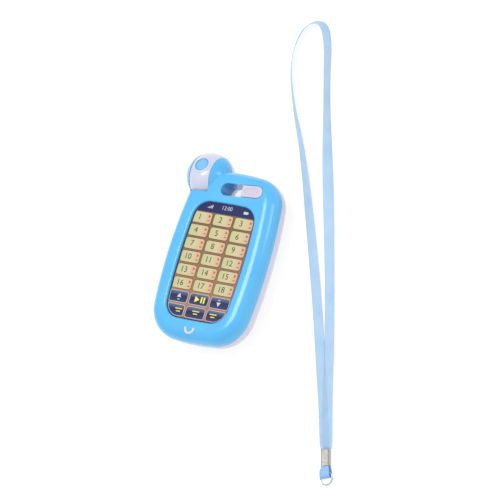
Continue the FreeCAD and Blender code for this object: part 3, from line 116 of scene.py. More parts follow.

# %% [markdown]
# ## The lanyard's line
# The lanyard is a satin ribbon about 10 mm wide.  It leaves the metal crimp, lies flat up its right leg,
# rolls onto its edge, turns over the top, and comes back down the left leg to the crimp.  A NURBS spline
# through listed control points gives a line as smooth as a ribbon falls.  A second spline with the same
# number of points carries the lean, in degrees from lying flat, so both are read at the same places.

# %% The line and the lean of the ribbon
RIBBON_ROUTE = [
    (0.1526, -0.1438, 0.0027), (0.1415, -0.1130, 0.0024), (0.1210, -0.0460, 0.0020),
    (0.0983, 0.0215, 0.0026), (0.0760, 0.0840, 0.0036), (0.0548, 0.1440, 0.0049),
    (0.0400, 0.1880, 0.0050), (0.0315, 0.2160, 0.0048), (0.0210, 0.2335, 0.0044),
    (0.0070, 0.2330, 0.0043), (-0.0020, 0.2190, 0.0043), (-0.0015, 0.1920, 0.0043),
    (0.0140, 0.1560, 0.0042), (0.0390, 0.1130, 0.0034), (0.0675, 0.0510, 0.0022),
    (0.0975, -0.0160, 0.0018), (0.1225, -0.0770, 0.0017), (0.1380, -0.1140, 0.0017),
    (0.1494, -0.1449, 0.0017),
]
RIBBON_LEAN = [0, 0, 0, 0, 25, 76, 80, 70, 57, 57, 57, 57, 55, 33, 8, 0, 0, 0, 0]
RIBBON_WIDTH, RIBBON_THICK = 9.6 * MM, 0.45 * MM
GATHERED_WIDTH = 7.4 * MM   # where the crimp squeezes it
SPLINE_STEPS = 16


def mesh_of(curve):
    """What Blender makes of a curve or a text, as a mesh; the curve itself is dropped."""
    holder = bpy.data.objects.new("holder", curve)
    bpy.context.scene.collection.objects.link(holder)
    bpy.context.view_layer.update()
    evaluated = holder.evaluated_get(bpy.context.evaluated_depsgraph_get())
    mesh = bpy.data.meshes.new_from_object(evaluated)
    bpy.data.objects.remove(holder)
    bpy.data.curves.remove(curve)
    return mesh


def spline_points(points):
    """The points of a smooth open NURBS spline with these control points, as Blender works them out."""
    data = bpy.data.curves.new("line", "CURVE")
    data.dimensions = "3D"
    data.resolution_u = SPLINE_STEPS
    spline = data.splines.new("NURBS")
    spline.points.add(len(points) - 1)
    for target, spot in zip(spline.points, points):
        target.co = (*spot, 1.0)
    spline.order_u = 3
    spline.use_endpoint_u = True
    mesh = mesh_of(data)
    line = [vertex.co.copy() for vertex in mesh.vertices]
    bpy.data.meshes.remove(mesh)
    return line


ribbon_line = spline_points(RIBBON_ROUTE)
ribbon_lean = [spot.x for spot in spline_points([(lean, 0, 0) for lean in RIBBON_LEAN])]
ribbon_length = sum((b - a).length for a, b in zip(ribbon_line, ribbon_line[1:]))
print("ribbon: %d points, %.1f mm long" % (len(ribbon_line), ribbon_length / MM))

# %% [markdown]
# ## A woven strip
# A ribbon could be a curve with a flat bevel, but a curve's own twist is hard to steer.  We sweep a
# thin cross-section by hand instead: at each point of the line it lies across the line and leans as
# told.  The strip gets a UV map in metres, so the weave keeps one thread spacing everywhere.

# %% Ribbon strip
STRIP_SECTION = [(-0.5, 0.0), (-0.47, 0.5), (-0.25, 0.5), (0.0, 0.5), (0.25, 0.5), (0.47, 0.5),
                 (0.5, 0.0), (0.47, -0.5), (0.25, -0.5), (0.0, -0.5), (-0.25, -0.5), (-0.47, -0.5)]


def strip(name, line, across, widths, thick):
    """A closed thin strip with round edges along a line; across holds the unit width vectors, and the
    section's places are shares of the width and the thickness."""
    mesh = bmesh.new()
    uv = mesh.loops.layers.uv.new("weave")
    rings, run, runs = [], 0.0, []
    for i, spot in enumerate(line):
        ahead = (line[min(i + 1, len(line) - 1)] - line[max(i - 1, 0)]).normalized()
        wide = (across[i] - ahead * across[i].dot(ahead)).normalized()
        deep = ahead.cross(wide)
        if i:
            run += (spot - line[i - 1]).length
        runs.append(run)
        rings.append([mesh.verts.new(spot + wide * u * widths[i] + deep * v * thick)
                      for u, v in STRIP_SECTION])
    count = len(STRIP_SECTION)
    for i in range(len(rings) - 1):
        for j in range(count):
            k = (j + 1) % count
            face = mesh.faces.new((rings[i][j], rings[i][k], rings[i + 1][k], rings[i + 1][j]))
            face.smooth = True
            for loop, (a, b) in zip(face.loops, ((i, j), (i, k), (i + 1, k), (i + 1, j))):
                loop[uv].uv = (STRIP_SECTION[b][0] * RIBBON_WIDTH, runs[a])
    mesh.faces.new(rings[0][::-1])
    mesh.faces.new(rings[-1])
    bmesh.ops.recalc_face_normals(mesh, faces=mesh.faces)
    return piece_from(name, mesh)


def piece_from(name, mesh):
    """Turn a bmesh into a shown object at the origin."""
    data = bpy.data.meshes.new(name)
    mesh.to_mesh(data)
    mesh.free()
    piece = bpy.data.objects.new(name, data)
    bpy.context.scene.collection.objects.link(piece)
    return piece


def leaning(line, leans):
    """Width vectors that lean from flat towards upright, on the inner side of the ribbon's turn."""
    vectors = []
    for i, lean in enumerate(leans):
        ahead = line[min(i + 1, len(line) - 1)] - line[max(i - 1, 0)]
        inner = Vector((-ahead.y, ahead.x, 0)).normalized()
        angle = math.radians(lean)
        vectors.append(inner * math.cos(angle) + Vector((0, 0, math.sin(angle))))
    return vectors


def pinched(line, width, end_width, reach):
    """Widths that narrow towards both ends, where the crimp gathers the ribbon."""
    far = [0.0]
    for a, b in zip(line, line[1:]):
        far.append(far[-1] + (b - a).length)
    shares = [min(1.0, min(run, far[-1] - run) / reach) for run in far]
    return [end_width + (width - end_width) * (3 * s * s - 2 * s ** 3) for s in shares]


ribbon = strip("lanyard_ribbon_woven", ribbon_line, leaning(ribbon_line, ribbon_lean),
               pinched(ribbon_line, RIBBON_WIDTH, GATHERED_WIDTH, reach=9 * MM), RIBBON_THICK)
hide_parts("lanyard_ribbon")
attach(ribbon, "lanyard")
print("ribbon strip: %d faces" % len(ribbon.data.polygons))

# %% [markdown]
# ## The end loop
# Below the crimp a short end of the same ribbon is folded into a loop that holds the split ring.  From
# the side it is a stadium, so the strip function above sweeps it too: out from the crimp on top, round
# the end, and back underneath.

# %% End loop of ribbon
crimp_low, crimp_high = (Vector(corner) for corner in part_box("lanyard_crimp"))
crimp_middle = (crimp_low + crimp_high) / 2
CRIMP_TURN = math.radians(199.06)
along_crimp = Vector((-math.sin(CRIMP_TURN), math.cos(CRIMP_TURN), 0))
across_crimp = Vector((math.cos(CRIMP_TURN), math.sin(CRIMP_TURN), 0))
CRIMP_LONG, LOOP_LONG, LOOP_TALL = 14.5 * MM, 11.3 * MM, 6.0 * MM
LOOP_SKIN, LOOP_THICK = 0.6 * MM, 0.5 * MM
LOOP_START = 0.35 * MM      # how far from the crimp's end the ribbon comes into view
NECK, SWELL = 0.55, 2.2     # its share of the height there, and how soon it has all of it
crimp_end = crimp_middle + along_crimp * CRIMP_LONG / 2
crimp_end.z = 0.0


def loop_line(long, tall, skin, steps=14):
    """The side view of the loop, as points from the top of the crimp's end round to its underside."""
    radius = tall / 2 - skin / 2
    straight = long - tall / 2
    points = []
    for i in range(steps):
        rise = radius * (NECK + (1 - NECK) * min(1.0, SWELL * i / steps))
        points.append((LOOP_START + (straight - LOOP_START) * i / steps, tall / 2 + rise))
    for i in range(steps + 1):
        angle = math.pi / 2 - math.pi * i / steps
        points.append((straight + radius * math.cos(angle), tall / 2 + radius * math.sin(angle)))
    for i in range(1, steps + 1):
        points.append((straight - (straight - LOOP_START) * i / steps, tall / 2 - radius))
    return [crimp_end + along_crimp * run + Vector((0, 0, rise)) for run, rise in points]


end_line = loop_line(LOOP_LONG, LOOP_TALL, LOOP_SKIN)
end_loop = strip("lanyard_end_loop_woven", end_line, [across_crimp] * len(end_line),
                 pinched(end_line, RIBBON_WIDTH, GATHERED_WIDTH, reach=6 * MM), LOOP_THICK)
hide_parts("lanyard_end_loop")
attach(end_loop, "lanyard")
print("end loop: %d faces" % len(end_loop.data.polygons))

# %% [markdown]
# ## Moulded plastics
# The case, drum and button are ABS, injection moulded in polished steel tools.  That gives a glossy,
# even skin with hardly any grain: only faint flow marks and a slight unevenness that makes highlights
# waver.  A Principled shader with a clear coat carries the gloss, a soft noise carries the flow marks,
# and a low bump carries the unevenness.

# %% Plastics
FLOW_MM = 26.3              # the cloudy flow marks of the melt
GRAIN_DEEP = 0.05 * MM


def blank(name):
    """A material with an empty node tree."""
    material = bpy.data.materials.new(name)
    material.use_nodes = True
    material.node_tree.nodes.clear()
    return material, material.node_tree


def between(dark, light):
    """The two stops that spread a noise's middle values over two close shades."""
    return (0.3, dark), (0.7, light)


def moulded_plastic(name, dark, light, roughness=0.24, coat=0.35, grain_mm=0.9, bump=0.02):
    """Glossy moulded plastic between two close shades."""
    material, tree = blank(name)
    spot = add(tree, "ShaderNodeTexCoord").outputs["Object"]
    flow = add(tree, "ShaderNodeTexNoise", {"Vector": spot}, in_Scale=1 / (FLOW_MM * MM), in_Detail=3.0,
               in_Roughness=0.45)
    shade = add(tree, "ShaderNodeValToRGB", {"Fac": flow.outputs["Fac"]}, between(dark, light))
    grain = add(tree, "ShaderNodeTexNoise", {"Vector": spot}, in_Scale=1 / (grain_mm * MM), in_Detail=2.0)
    relief = add(tree, "ShaderNodeBump", {"Height": grain.outputs["Fac"]}, in_Strength=bump,
                 in_Distance=GRAIN_DEEP)
    shader = add(tree, "ShaderNodeBsdfPrincipled", {
        "Base Color": shade.outputs["Color"], "Normal": relief.outputs["Normal"]},
        in_Roughness=roughness, in_IOR=1.53, in_Coat_Weight=coat, in_Coat_Roughness=0.08)
    add(tree, "ShaderNodeOutputMaterial", {"Surface": shader.outputs[0]})
    return material


def dress(names, material):
    """Give CAD nodes a material in place of their own."""
    for name in names:
        mesh = nodes[name].data
        mesh.materials.clear()
        mesh.materials.append(material)


# a clear sky blue that stays even right up to its highlights
dress(["front_casing"], moulded_plastic("blue_moulded_abs", "#54b6ee", "#5dbdf4"))
# a pale grey with a breath of lilac, which takes on the blue beside it
dress(["rear_casing", "battery_door"], moulded_plastic("lilac_moulded_abs", "#d0cedf", "#d8d6e6"))
# a cooler white, smooth enough for the softbox to draw a line down the drum
dress(["lens_drum", "drum_end_cap", "smile_mark"],
      moulded_plastic("white_moulded_abs", "#cdd0e4", "#d5d8ec"))
# white ABS again, tinted by the lens that it holds
dress(["lens_ring"], moulded_plastic("pale_ring_abs", "#bfd3ee", "#cadaf2"))
print("plastics:", [m.name for m in bpy.data.materials if "abs" in m.name])

# %% [markdown]
# ## The push button
# The button is white ABS with a shallow pink-tinted dish.  The tint is strongest in the dish's middle,
# so it follows the distance from the button's middle, squeezed to the dish's long shape with a Mapping
# node.

# %% Button finish
button_low, button_high = (Vector(corner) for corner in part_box("power_button"))
button_middle = (button_low + button_high) / 2
BUTTON_TURN = math.radians(3.5)
DISH_HALF_LONG, DISH_HALF_WIDE = 9.0 * MM, 4.2 * MM


def dished_button(name, rim, tint):
    """White ABS, glossy like the case, whose dish is tinted in its middle."""
    material, tree = blank(name)
    spot = add(tree, "ShaderNodeTexCoord").outputs["Object"]
    centred = add(tree, "ShaderNodeMapping", {"Vector": spot}, vector_type="TEXTURE",
                  in_Location=(button_middle.x, button_middle.y, button_high.z),
                  in_Rotation=(0, 0, BUTTON_TURN), in_Scale=(DISH_HALF_LONG, DISH_HALF_WIDE, 1.0))
    away = add(tree, "ShaderNodeVectorMath", {0: centred.outputs[0]}, operation="LENGTH")
    shade = add(tree, "ShaderNodeValToRGB", {"Fac": away.outputs["Value"]}, ((0.55, tint), (1.0, rim)))
    grain = add(tree, "ShaderNodeTexNoise", {"Vector": spot}, in_Scale=1 / (1.11 * MM), in_Detail=2.0)
    relief = add(tree, "ShaderNodeBump", {"Height": grain.outputs["Fac"]}, in_Strength=0.05,
                 in_Distance=GRAIN_DEEP)
    shader = add(tree, "ShaderNodeBsdfPrincipled", {
        "Base Color": shade.outputs["Color"], "Normal": relief.outputs["Normal"]},
        in_Roughness=0.28, in_IOR=1.53, in_Coat_Weight=0.3)
    add(tree, "ShaderNodeOutputMaterial", {"Surface": shader.outputs[0]})
    return material


dress(["power_button"], dished_button("dished_white_abs", "#cbc9de", "#cfc3d5"))
print("button middle, mm:", [round(v / MM, 1) for v in button_middle])

# %% [markdown]
# ## Ribbon weave
# The ribbon is polyester satin: fine warp threads run along it, crossed by a tight weft.  It is thin
# enough for the table to shine through it, so two layers look deeper than one.  Wave textures on the UV
# map, whose unit is a metre, draw the threads, and a cloudy noise keeps the cloth from looking printed.

# %% Ribbon material
WAVE_REPEAT = 0.314         # a Wave texture of scale 1 repeats this often, in its own units
THREAD_MM = 0.4396          # real satin threads are about 0.1 mm apart: drawn coarser, so that they show


def satin_ribbon(name, dark, light, cover):
    """Woven satin with a low sheen; cover is how much of what lies behind it the threads hide."""
    material, tree = blank(name)
    weave = add(tree, "ShaderNodeUVMap", uv_map="weave").outputs["UV"]
    repeat = WAVE_REPEAT / (THREAD_MM * MM)
    warp = add(tree, "ShaderNodeTexWave", {"Vector": weave}, bands_direction="X", in_Scale=repeat,
               in_Distortion=0.4)
    weft = add(tree, "ShaderNodeTexWave", {"Vector": weave}, bands_direction="Y", in_Scale=repeat,
               in_Distortion=0.8, in_Detail=1.0)
    cloud = add(tree, "ShaderNodeTexNoise", {"Vector": weave}, in_Scale=1 / (16.7 * MM), in_Detail=3.0)
    threads = add(tree, "ShaderNodeMath", {0: warp.outputs["Fac"], 1: weft.outputs["Fac"]},
                  operation="MULTIPLY")
    mixed = add(tree, "ShaderNodeMath", {0: threads.outputs[0], 1: cloud.outputs["Fac"]}, operation="ADD")
    shade = add(tree, "ShaderNodeValToRGB", {"Fac": mixed.outputs[0]}, ((0.3, dark), (1.0, light)))
    relief = add(tree, "ShaderNodeBump", {"Height": threads.outputs[0]}, in_Strength=0.35,
                 in_Distance=0.08 * MM)
    cloth = add(tree, "ShaderNodeBsdfPrincipled", {
        "Base Color": shade.outputs["Color"], "Normal": relief.outputs["Normal"]},
        in_Roughness=0.55, in_IOR=1.5, in_Sheen_Weight=0.3, in_Sheen_Roughness=0.4, in_Alpha=cover)
    add(tree, "ShaderNodeOutputMaterial", {"Surface": cloth.outputs[0]})
    return material


# one layer is milky and lets a third of the table through, and the folded end is dense and bluer
ribbon.data.materials.append(satin_ribbon("satin_polyester_ribbon", "#9cc8ee", "#bcdcf6", cover=0.68))
end_loop.data.materials.append(satin_ribbon("satin_ribbon_doubled", "#86b4ea", "#9cc6f0", cover=1.0))
print("ribbon material on", ribbon.name, "and", end_loop.name)

# %% [markdown]
# ## Metals
# The crimp is a folded strip of nickel-plated steel, the split ring is drawn spring wire with the same
# plating, and the screws are zinc plated.  Plating is smooth and bright, so they are metallic with a
# low roughness that a fine noise breaks up, and the crimp has the rolled lines of its sheet.

# %% Metals


def plated_metal(name, dark, light, roughness, line_mm=0.0, turn=0.0):
    """Plated steel; with a line spacing it gets rolled lines that run along Y after the turn."""
    material, tree = blank(name)
    spot = add(tree, "ShaderNodeTexCoord").outputs["Object"]
    tarnish = add(tree, "ShaderNodeTexNoise", {"Vector": spot}, in_Scale=1 / (2.38 * MM), in_Detail=4.0)
    shade = add(tree, "ShaderNodeValToRGB", {"Fac": tarnish.outputs["Fac"]}, between(dark, light))
    if line_mm:
        turned = add(tree, "ShaderNodeMapping", {"Vector": spot}, vector_type="TEXTURE",
                     in_Rotation=(0, 0, turn))
        height = add(tree, "ShaderNodeTexWave", {"Vector": turned.outputs[0]}, bands_direction="X",
                     in_Scale=WAVE_REPEAT / (line_mm * MM), in_Distortion=0.6).outputs["Fac"]
    else:
        height = tarnish.outputs["Fac"]
    relief = add(tree, "ShaderNodeBump", {"Height": height}, in_Strength=0.5, in_Distance=0.12 * MM)
    shader = add(tree, "ShaderNodeBsdfPrincipled", {
        "Base Color": shade.outputs["Color"], "Normal": relief.outputs["Normal"]},
        in_Metallic=1.0, in_Roughness=roughness)
    add(tree, "ShaderNodeOutputMaterial", {"Surface": shader.outputs[0]})
    return material


# rolled strip, dulled by folding: a soft grey shine with faint lines along it
dress(["lanyard_crimp"], plated_metal("nickel_plated_crimp", "#b2b0ab", "#cbc9c4", 0.5, 1.1, CRIMP_TURN))
# drawn wire: bright, with a sharp line of light round each turn
dress(["split_ring"], plated_metal("nickel_plated_wire", "#c9c9c9", "#efefee", 0.18))
# barrel-plated zinc: a cold grey with a blurred shine
dress(["case_screws", "battery_door_screw", "board_screws", "switch_board_screws"],
      plated_metal("zinc_plated_screw", "#a9abad", "#c9cbcc", 0.32))
# nickel on spring steel: slightly yellow and clean
dress(["battery_springs", "battery_contacts"],
      plated_metal("nickel_plated_spring", "#b8b29f", "#d8d2c2", 0.3))
# pressed sheet and pressed ferrite powder: one dull and grey, the other nearly black
dress(["speaker_frame"], plated_metal("pressed_zinc_steel", "#9a9b9e", "#b5b6b8", 0.4))
dress(["speaker_magnet"], plated_metal("sintered_ferrite", "#2a2a2c", "#3d3d40", 0.6))
print("metals:", [m.name for m in bpy.data.materials if "plated" in m.name])

# %% [markdown]
# ## Lens, lamp and the parts inside
# The drum's lens is tinted polystyrene over a lamp: it lets a little light through and looks sky blue.
# Behind the casing are a phenolic board, membrane sheets, a cast-epoxy chip blob, a paper loudspeaker
# cone, and wires and batteries in vinyl.  Each gets the finish of its real material, though the casing
# hides most of them.

# %% Lens and inner parts


def clear_plastic(name, tint, rim, roughness, through, middle, axis, radius):
    """Tinted clear plastic with painted shade that darkens it towards its rim, counted from an axis through
    a middle.
    """
    material, tree = blank(name)
    spot = add(tree, "ShaderNodeTexCoord").outputs["Object"]
    streak = add(tree, "ShaderNodeTexNoise", {"Vector": spot}, in_Scale=1 / (6.25 * MM), in_Detail=2.0)
    offset = add(tree, "ShaderNodeVectorMath", {0: spot}, operation="SUBTRACT", in_1=middle)
    turned = add(tree, "ShaderNodeVectorMath", {0: offset.outputs[0]}, operation="CROSS_PRODUCT", in_1=axis)
    away = add(tree, "ShaderNodeVectorMath", {0: turned.outputs[0]}, operation="LENGTH")
    share = add(tree, "ShaderNodeMath", {0: away.outputs["Value"]}, operation="MULTIPLY", in_1=1 / radius)
    uneven = add(tree, "ShaderNodeMath", {0: streak.outputs["Fac"], 2: share.outputs[0]},
                 operation="MULTIPLY_ADD", in_1=0.04)
    # painted shade: near the rim the colour turns from the tint to the darker rim colour
    shade = add(tree, "ShaderNodeValToRGB", {"Fac": uneven.outputs[0]}, ((0.84, tint), (0.98, rim)))
    shader = add(tree, "ShaderNodeBsdfPrincipled", {"Base Color": shade.outputs["Color"]},
                 in_Roughness=roughness, in_IOR=1.59, in_Transmission_Weight=through, in_Coat_Weight=0.6)
    add(tree, "ShaderNodeOutputMaterial", {"Surface": shader.outputs[0]})
    return material


drum_low, drum_high = (Vector(corner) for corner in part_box("lens_drum"))
lens_low, lens_high = (Vector(corner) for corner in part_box("drum_lens"))
lens_middle, drum_middle = (lens_low + lens_high) / 2, (drum_low + drum_high) / 2
drum_middle.x = lens_middle.x
# bright and nearly opaque from outside, with a darker ring of painted shade round its rim, where it sits
# sunk in the drum
dress(["drum_lens"], clear_plastic(
    "tinted_polystyrene_lens", "#84cdfa", "#4c9bcf", roughness=0.12, through=0.15, middle=drum_middle,
    axis=(lens_middle - drum_middle).normalized(), radius=(lens_high.x - lens_low.x) / 2))
lamp_low, lamp_high = (Vector(corner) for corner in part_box("lamp_led"))
# a wet-looking red bead, with the same painted shade towards its rim
dress(["lamp_led"], clear_plastic(
    "red_epoxy_lamp", "#d8382c", "#b82c22", roughness=0.1, through=0.5, middle=(lamp_low + lamp_high) / 2,
    axis=(1, 0, 0), radius=(lamp_high.y - lamp_low.y) / 2))
INNER_PARTS = [
    # paper layers in brown resin, cut by a press: dull and faintly mottled
    (["main_circuit_board", "switch_board"], ("phenolic_board", "#8a5a2c", "#a06c38", 0.5, 0.05, 2.0, 0.2)),
    # printed polyester sheet: a satin grey-green
    (["contact_sheet", "contact_spacer"], ("membrane_polyester", "#a9b4ae", "#bcc6c0", 0.35, 0.2)),
    # epoxy poured over the chip: black and half matt
    (["sound_chip", "resistors"], ("cast_epoxy", "#111214", "#1c1d20", 0.45, 0.1)),
    # moulded nylon: black with a waxy shine
    (["tact_switch", "switch_plunger", "lamp_holder"], ("black_nylon", "#17181b", "#232529", 0.45, 0.1)),
    # pulp dried on a mesh: dark, rough and without shine
    (["speaker_cone"], ("pulp_paper_cone", "#26221e", "#3a342e", 0.85, 0.0, 1.2, 0.4)),
    # heat-shrunk vinyl: dark and slightly glossy
    (["battery_cells"], ("shrink_jacket_vinyl", "#1c2430", "#2a3444", 0.4, 0.1)),
    (["capacitor"], ("capacitor_sleeve", "#23284e", "#31376a", 0.35, 0.1)),
    # extruded soft vinyl: a plain red with a soft shine
    (["speaker_wires", "battery_wires", "lamp_wires", "switch_wires"],
     ("soft_vinyl_sleeve", "#a8231d", "#c23128", 0.42, 0.1)),
]
for names, settings in INNER_PARTS:
    dress(names, moulded_plastic(*settings))
print("inner parts dressed:", sum(len(names) for names, settings in INNER_PARTS))

# %% [markdown]
# ## The key film
# The keys are printed on one polyester film: a dark blue ground, a copper-coloured field that shows as
# the gutters, three columns of six cream keys, and two rows of blue keys.  Ink stands only hundredths
# of a millimetre high, so each colour is a very thin plate on the film.  All of them have to end at the
# window's rounded outline, which we read from the film itself: its edge lies under the casing, so the
# outline is drawn in by the same margin.

# %% The window's outline
film_low, film_high = (Vector(corner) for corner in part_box("key_film"))
film_top = film_high.z
FILM_UNDER_CASE = 1.8 * MM


def film_edge(inset):
    """The film's outer edge seen from above, drawn inwards, as points in order round its middle."""
    middle = (film_low + film_high) / 2
    spots = {(round(v.co.x, 6), round(v.co.y, 6)) for v in nodes["key_film"].data.vertices}
    ring = sorted(spots, key=lambda s: math.atan2(s[1] - middle.y, s[0] - middle.x))
    drawn = []
    for i, spot in enumerate(ring):
        before, after = ring[i - 1], ring[(i + 1) % len(ring)]
        way = Vector((after[0] - before[0], after[1] - before[1])).normalized()
        drawn.append((spot[0] - way.y * inset, spot[1] + way.x * inset))
    return drawn


print("film, mm:", [round(v / MM, 1) for v in film_high - film_low])


def plates(name, outlines, low, high, body):
    """Thin flat plates with the given outlines, as one piece that rides on a body."""
    mesh = bmesh.new()
    for outline in outlines:
        bottom = [mesh.verts.new((x, y, low)) for x, y in outline]
        top = [mesh.verts.new((x, y, high)) for x, y in outline]
        mesh.faces.new(bottom[::-1])
        mesh.faces.new(top)
        for i in range(len(outline)):
            k = (i + 1) % len(outline)
            mesh.faces.new((bottom[i], bottom[k], top[k], top[i]))
    bmesh.ops.recalc_face_normals(mesh, faces=mesh.faces)
    piece = piece_from(name, mesh)
    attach(piece, body)
    return piece


def clipped(outline, fence):
    """The part of one convex outline that lies inside another, both counted anticlockwise."""
    kept = list(outline)
    for (ax, ay), (bx, by) in zip(fence, fence[1:] + fence[:1]):
        source, kept = kept, []
        for i, here in enumerate(source):
            last = source[i - 1]
            side_here = (bx - ax) * (here[1] - ay) - (by - ay) * (here[0] - ax)
            side_last = (bx - ax) * (last[1] - ay) - (by - ay) * (last[0] - ax)
            if side_here * side_last < 0:
                share = side_last / (side_last - side_here)
                kept.append(tuple(a + (b - a) * share for a, b in zip(last, here)))
            if side_here >= 0:
                kept.append(here)
    return kept


def rounded(width, height, corner, x=0.0, y=0.0, steps=5):
    """A rectangle with round corners, anticlockwise, in metres from values in millimetres."""
    points = []
    for index, (sx, sy) in enumerate([(1, 1), (-1, 1), (-1, -1), (1, -1)]):
        for step in range(steps + 1):
            angle = math.pi / 2 * (index + step / steps)
            points.append(((x + sx * (width / 2 - corner) + corner * math.cos(angle)) * MM,
                           (y + sy * (height / 2 - corner) + corner * math.sin(angle)) * MM))
    return points


# %% [markdown]
# ## Rows of keys with Geometry Nodes
# The keys repeat on a grid, which is what Geometry Nodes do best.  One tree makes a grid of points,
# sets a round-cornered plate on each, and cuts the plates to the window with a Boolean.  Its inputs are
# the numbers a printer would be given: columns, rows, pitches, key size, corner and ink height.  The
# tree is used four times, for the dark edge and the cream face of the upper keys and for the pale edge
# and the blue face of the lower ones.

# %% The key tree
COLUMN_PITCH, ROW_PITCH = 22.2, 12.3
MIDDLE_COLUMN_X, FIRST_ROW_Y = -0.6, 32.7
KEY_INPUTS = {"Columns": "Int", "Rows": "Int", "Column pitch": "Float", "Row pitch": "Float",
              "Middle": "Vector", "Key width": "Float", "Key height": "Float", "Corner": "Float",
              "Ink height": "Float", "Window": "Object", "Ink": "Material"}


def key_rows_tree():
    """Build the tree: a grid of points, a closed plate on each, and the cut to the window."""
    tree = bpy.data.node_groups.new("key_rows", "GeometryNodeTree")
    tree.interface.new_socket("Geometry", in_out="OUTPUT", socket_type="NodeSocketGeometry")
    for name, kind in KEY_INPUTS.items():
        tree.interface.new_socket(name, in_out="INPUT", socket_type="NodeSocket" + kind)
    given = add(tree, "NodeGroupInput").outputs
    grid = add(tree, "GeometryNodeMeshGrid", {"Vertices X": given["Columns"], "Vertices Y": given["Rows"]})
    for side, count, pitch in (("Size X", "Columns", "Column pitch"), ("Size Y", "Rows", "Row pitch")):
        gaps = add(tree, "ShaderNodeMath", {0: given[count]}, operation="SUBTRACT", in_1=1.0)
        span = add(tree, "ShaderNodeMath", {0: gaps.outputs[0], 1: given[pitch]}, operation="MULTIPLY")
        tree.links.new(span.outputs[0], grid.inputs[side])
    moved = add(tree, "GeometryNodeTransform", {
        "Geometry": grid.outputs["Mesh"], "Translation": given["Middle"]})
    outline = add(tree, "GeometryNodeCurvePrimitiveQuadrilateral", {
        "Width": given["Key width"], "Height": given["Key height"]})
    turned = add(tree, "GeometryNodeFilletCurve", {"Curve": outline.outputs[0], "Radius": given["Corner"]},
                 mode="POLY", in_Count=5)
    face = add(tree, "GeometryNodeFillCurve", {"Curve": turned.outputs[0]}, mode="NGONS")
    raised = add(tree, "GeometryNodeExtrudeMesh", {
        "Mesh": face.outputs[0], "Offset Scale": given["Ink height"]}, in_Individual=False)
    under = add(tree, "GeometryNodeFlipFaces", {"Mesh": face.outputs[0]})
    closed = add(tree, "GeometryNodeJoinGeometry")
    tree.links.new(raised.outputs["Mesh"], closed.inputs[0])
    tree.links.new(under.outputs[0], closed.inputs[0])
    plate = add(tree, "GeometryNodeMergeByDistance", {"Geometry": closed.outputs[0]}, in_Distance=1e-6)
    keys = add(tree, "GeometryNodeInstanceOnPoints", {
        "Points": moved.outputs[0], "Instance": plate.outputs[0]})
    solid = add(tree, "GeometryNodeRealizeInstances", {"Geometry": keys.outputs[0]})
    frame_shape = add(tree, "GeometryNodeObjectInfo", {"Object": given["Window"]})
    inside = add(tree, "GeometryNodeMeshBoolean", operation="INTERSECT", solver="EXACT")
    many = [socket for socket in inside.inputs if socket.is_multi_input][0]
    tree.links.new(solid.outputs[0], many)
    tree.links.new(frame_shape.outputs["Geometry"], many)
    real = add(tree, "GeometryNodeRealizeInstances", {"Geometry": inside.outputs[0]})
    inked = add(tree, "GeometryNodeSetMaterial", {"Geometry": real.outputs[0], "Material": given["Ink"]})
    add(tree, "NodeGroupOutput", {"Geometry": inked.outputs[0]})
    return tree


def grown(name, tree, body, slot, **values):
    """Run a tree on an empty mesh with its named inputs, and keep only the result, as a plain mesh."""
    seed = bpy.data.objects.new(name + "_seed", bpy.data.meshes.new(name + "_seed"))
    bpy.context.scene.collection.objects.link(seed)
    modifier = seed.modifiers.new("tree", "NODES")
    modifier.node_group = tree
    for item in tree.interface.items_tree:
        key = item.name.replace(" ", "_").lower()
        if item.item_type == "SOCKET" and item.in_out == "INPUT" and key in values:
            modifier[item.identifier] = values[key]
    bpy.context.view_layer.update()
    evaluated = seed.evaluated_get(bpy.context.evaluated_depsgraph_get())
    data = bpy.data.meshes.new_from_object(evaluated)
    data.name = name
    bpy.data.objects.remove(seed)
    piece = bpy.data.objects.new(name, data)
    bpy.context.scene.collection.objects.link(piece)
    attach(piece, body)
    return piece


# %% [markdown]
# ## Inks
# Screen-printed ink is matt pigment under the film's clear gloss.  The cream keys shade from a green tint
# on their left to an orange-pink tint on their right, and the blue ones carry a painted reflection that
# leaves them darkest at the middle and lightest at the top.
# So a ramp follows the place across or up each key: a coordinate, measured in pitches, with its whole
# part taken off.

# %% Ink materials
INK_GLOSS = {"in_IOR": 1.5, "in_Coat_Weight": 0.12, "in_Coat_Roughness": 0.15}
MOTTLE_SCALE = 1 / (1.43 * MM)          # a screen's mesh is finer: drawn coarser, so that it shows
MOTTLE_SHARE, MOTTLE_TINT = 0.12, "#c8b478"     # how much it changes a graded colour, and to what
FADE_LOW_Y, FADE_HIGH_Y = -45 * MM, 35 * MM     # between these the copper darkens


def ink(name, dark, light, roughness=0.35):
    """One printed colour with the faint mottle of a screen print."""
    material, tree = blank(name)
    spot = add(tree, "ShaderNodeTexCoord").outputs["Object"]
    mottle = add(tree, "ShaderNodeTexNoise", {"Vector": spot}, in_Scale=MOTTLE_SCALE, in_Detail=3.0)
    shade = add(tree, "ShaderNodeValToRGB", {"Fac": mottle.outputs["Fac"]}, between(dark, light))
    shader = add(tree, "ShaderNodeBsdfPrincipled", {"Base Color": shade.outputs["Color"]},
                 in_Roughness=roughness, **INK_GLOSS)
    add(tree, "ShaderNodeOutputMaterial", {"Surface": shader.outputs[0]})
    return material


def key_share(tree, axis):
    """A share that is 0 at the left or lower edge of a key's cell and 1 at its right or upper one,
    and the coordinates that it comes from."""
    start, pitch = {"X": (MIDDLE_COLUMN_X, COLUMN_PITCH), "Y": (FIRST_ROW_Y, ROW_PITCH)}[axis]
    spot = add(tree, "ShaderNodeTexCoord").outputs["Object"]
    parts = add(tree, "ShaderNodeSeparateXYZ", {0: spot})
    cells = add(tree, "ShaderNodeMath", {0: parts.outputs[axis]}, operation="MULTIPLY_ADD",
                in_1=1 / (pitch * MM), in_2=0.5 - start / pitch)
    return add(tree, "ShaderNodeMath", {0: cells.outputs[0]}, operation="FRACT").outputs[0], spot


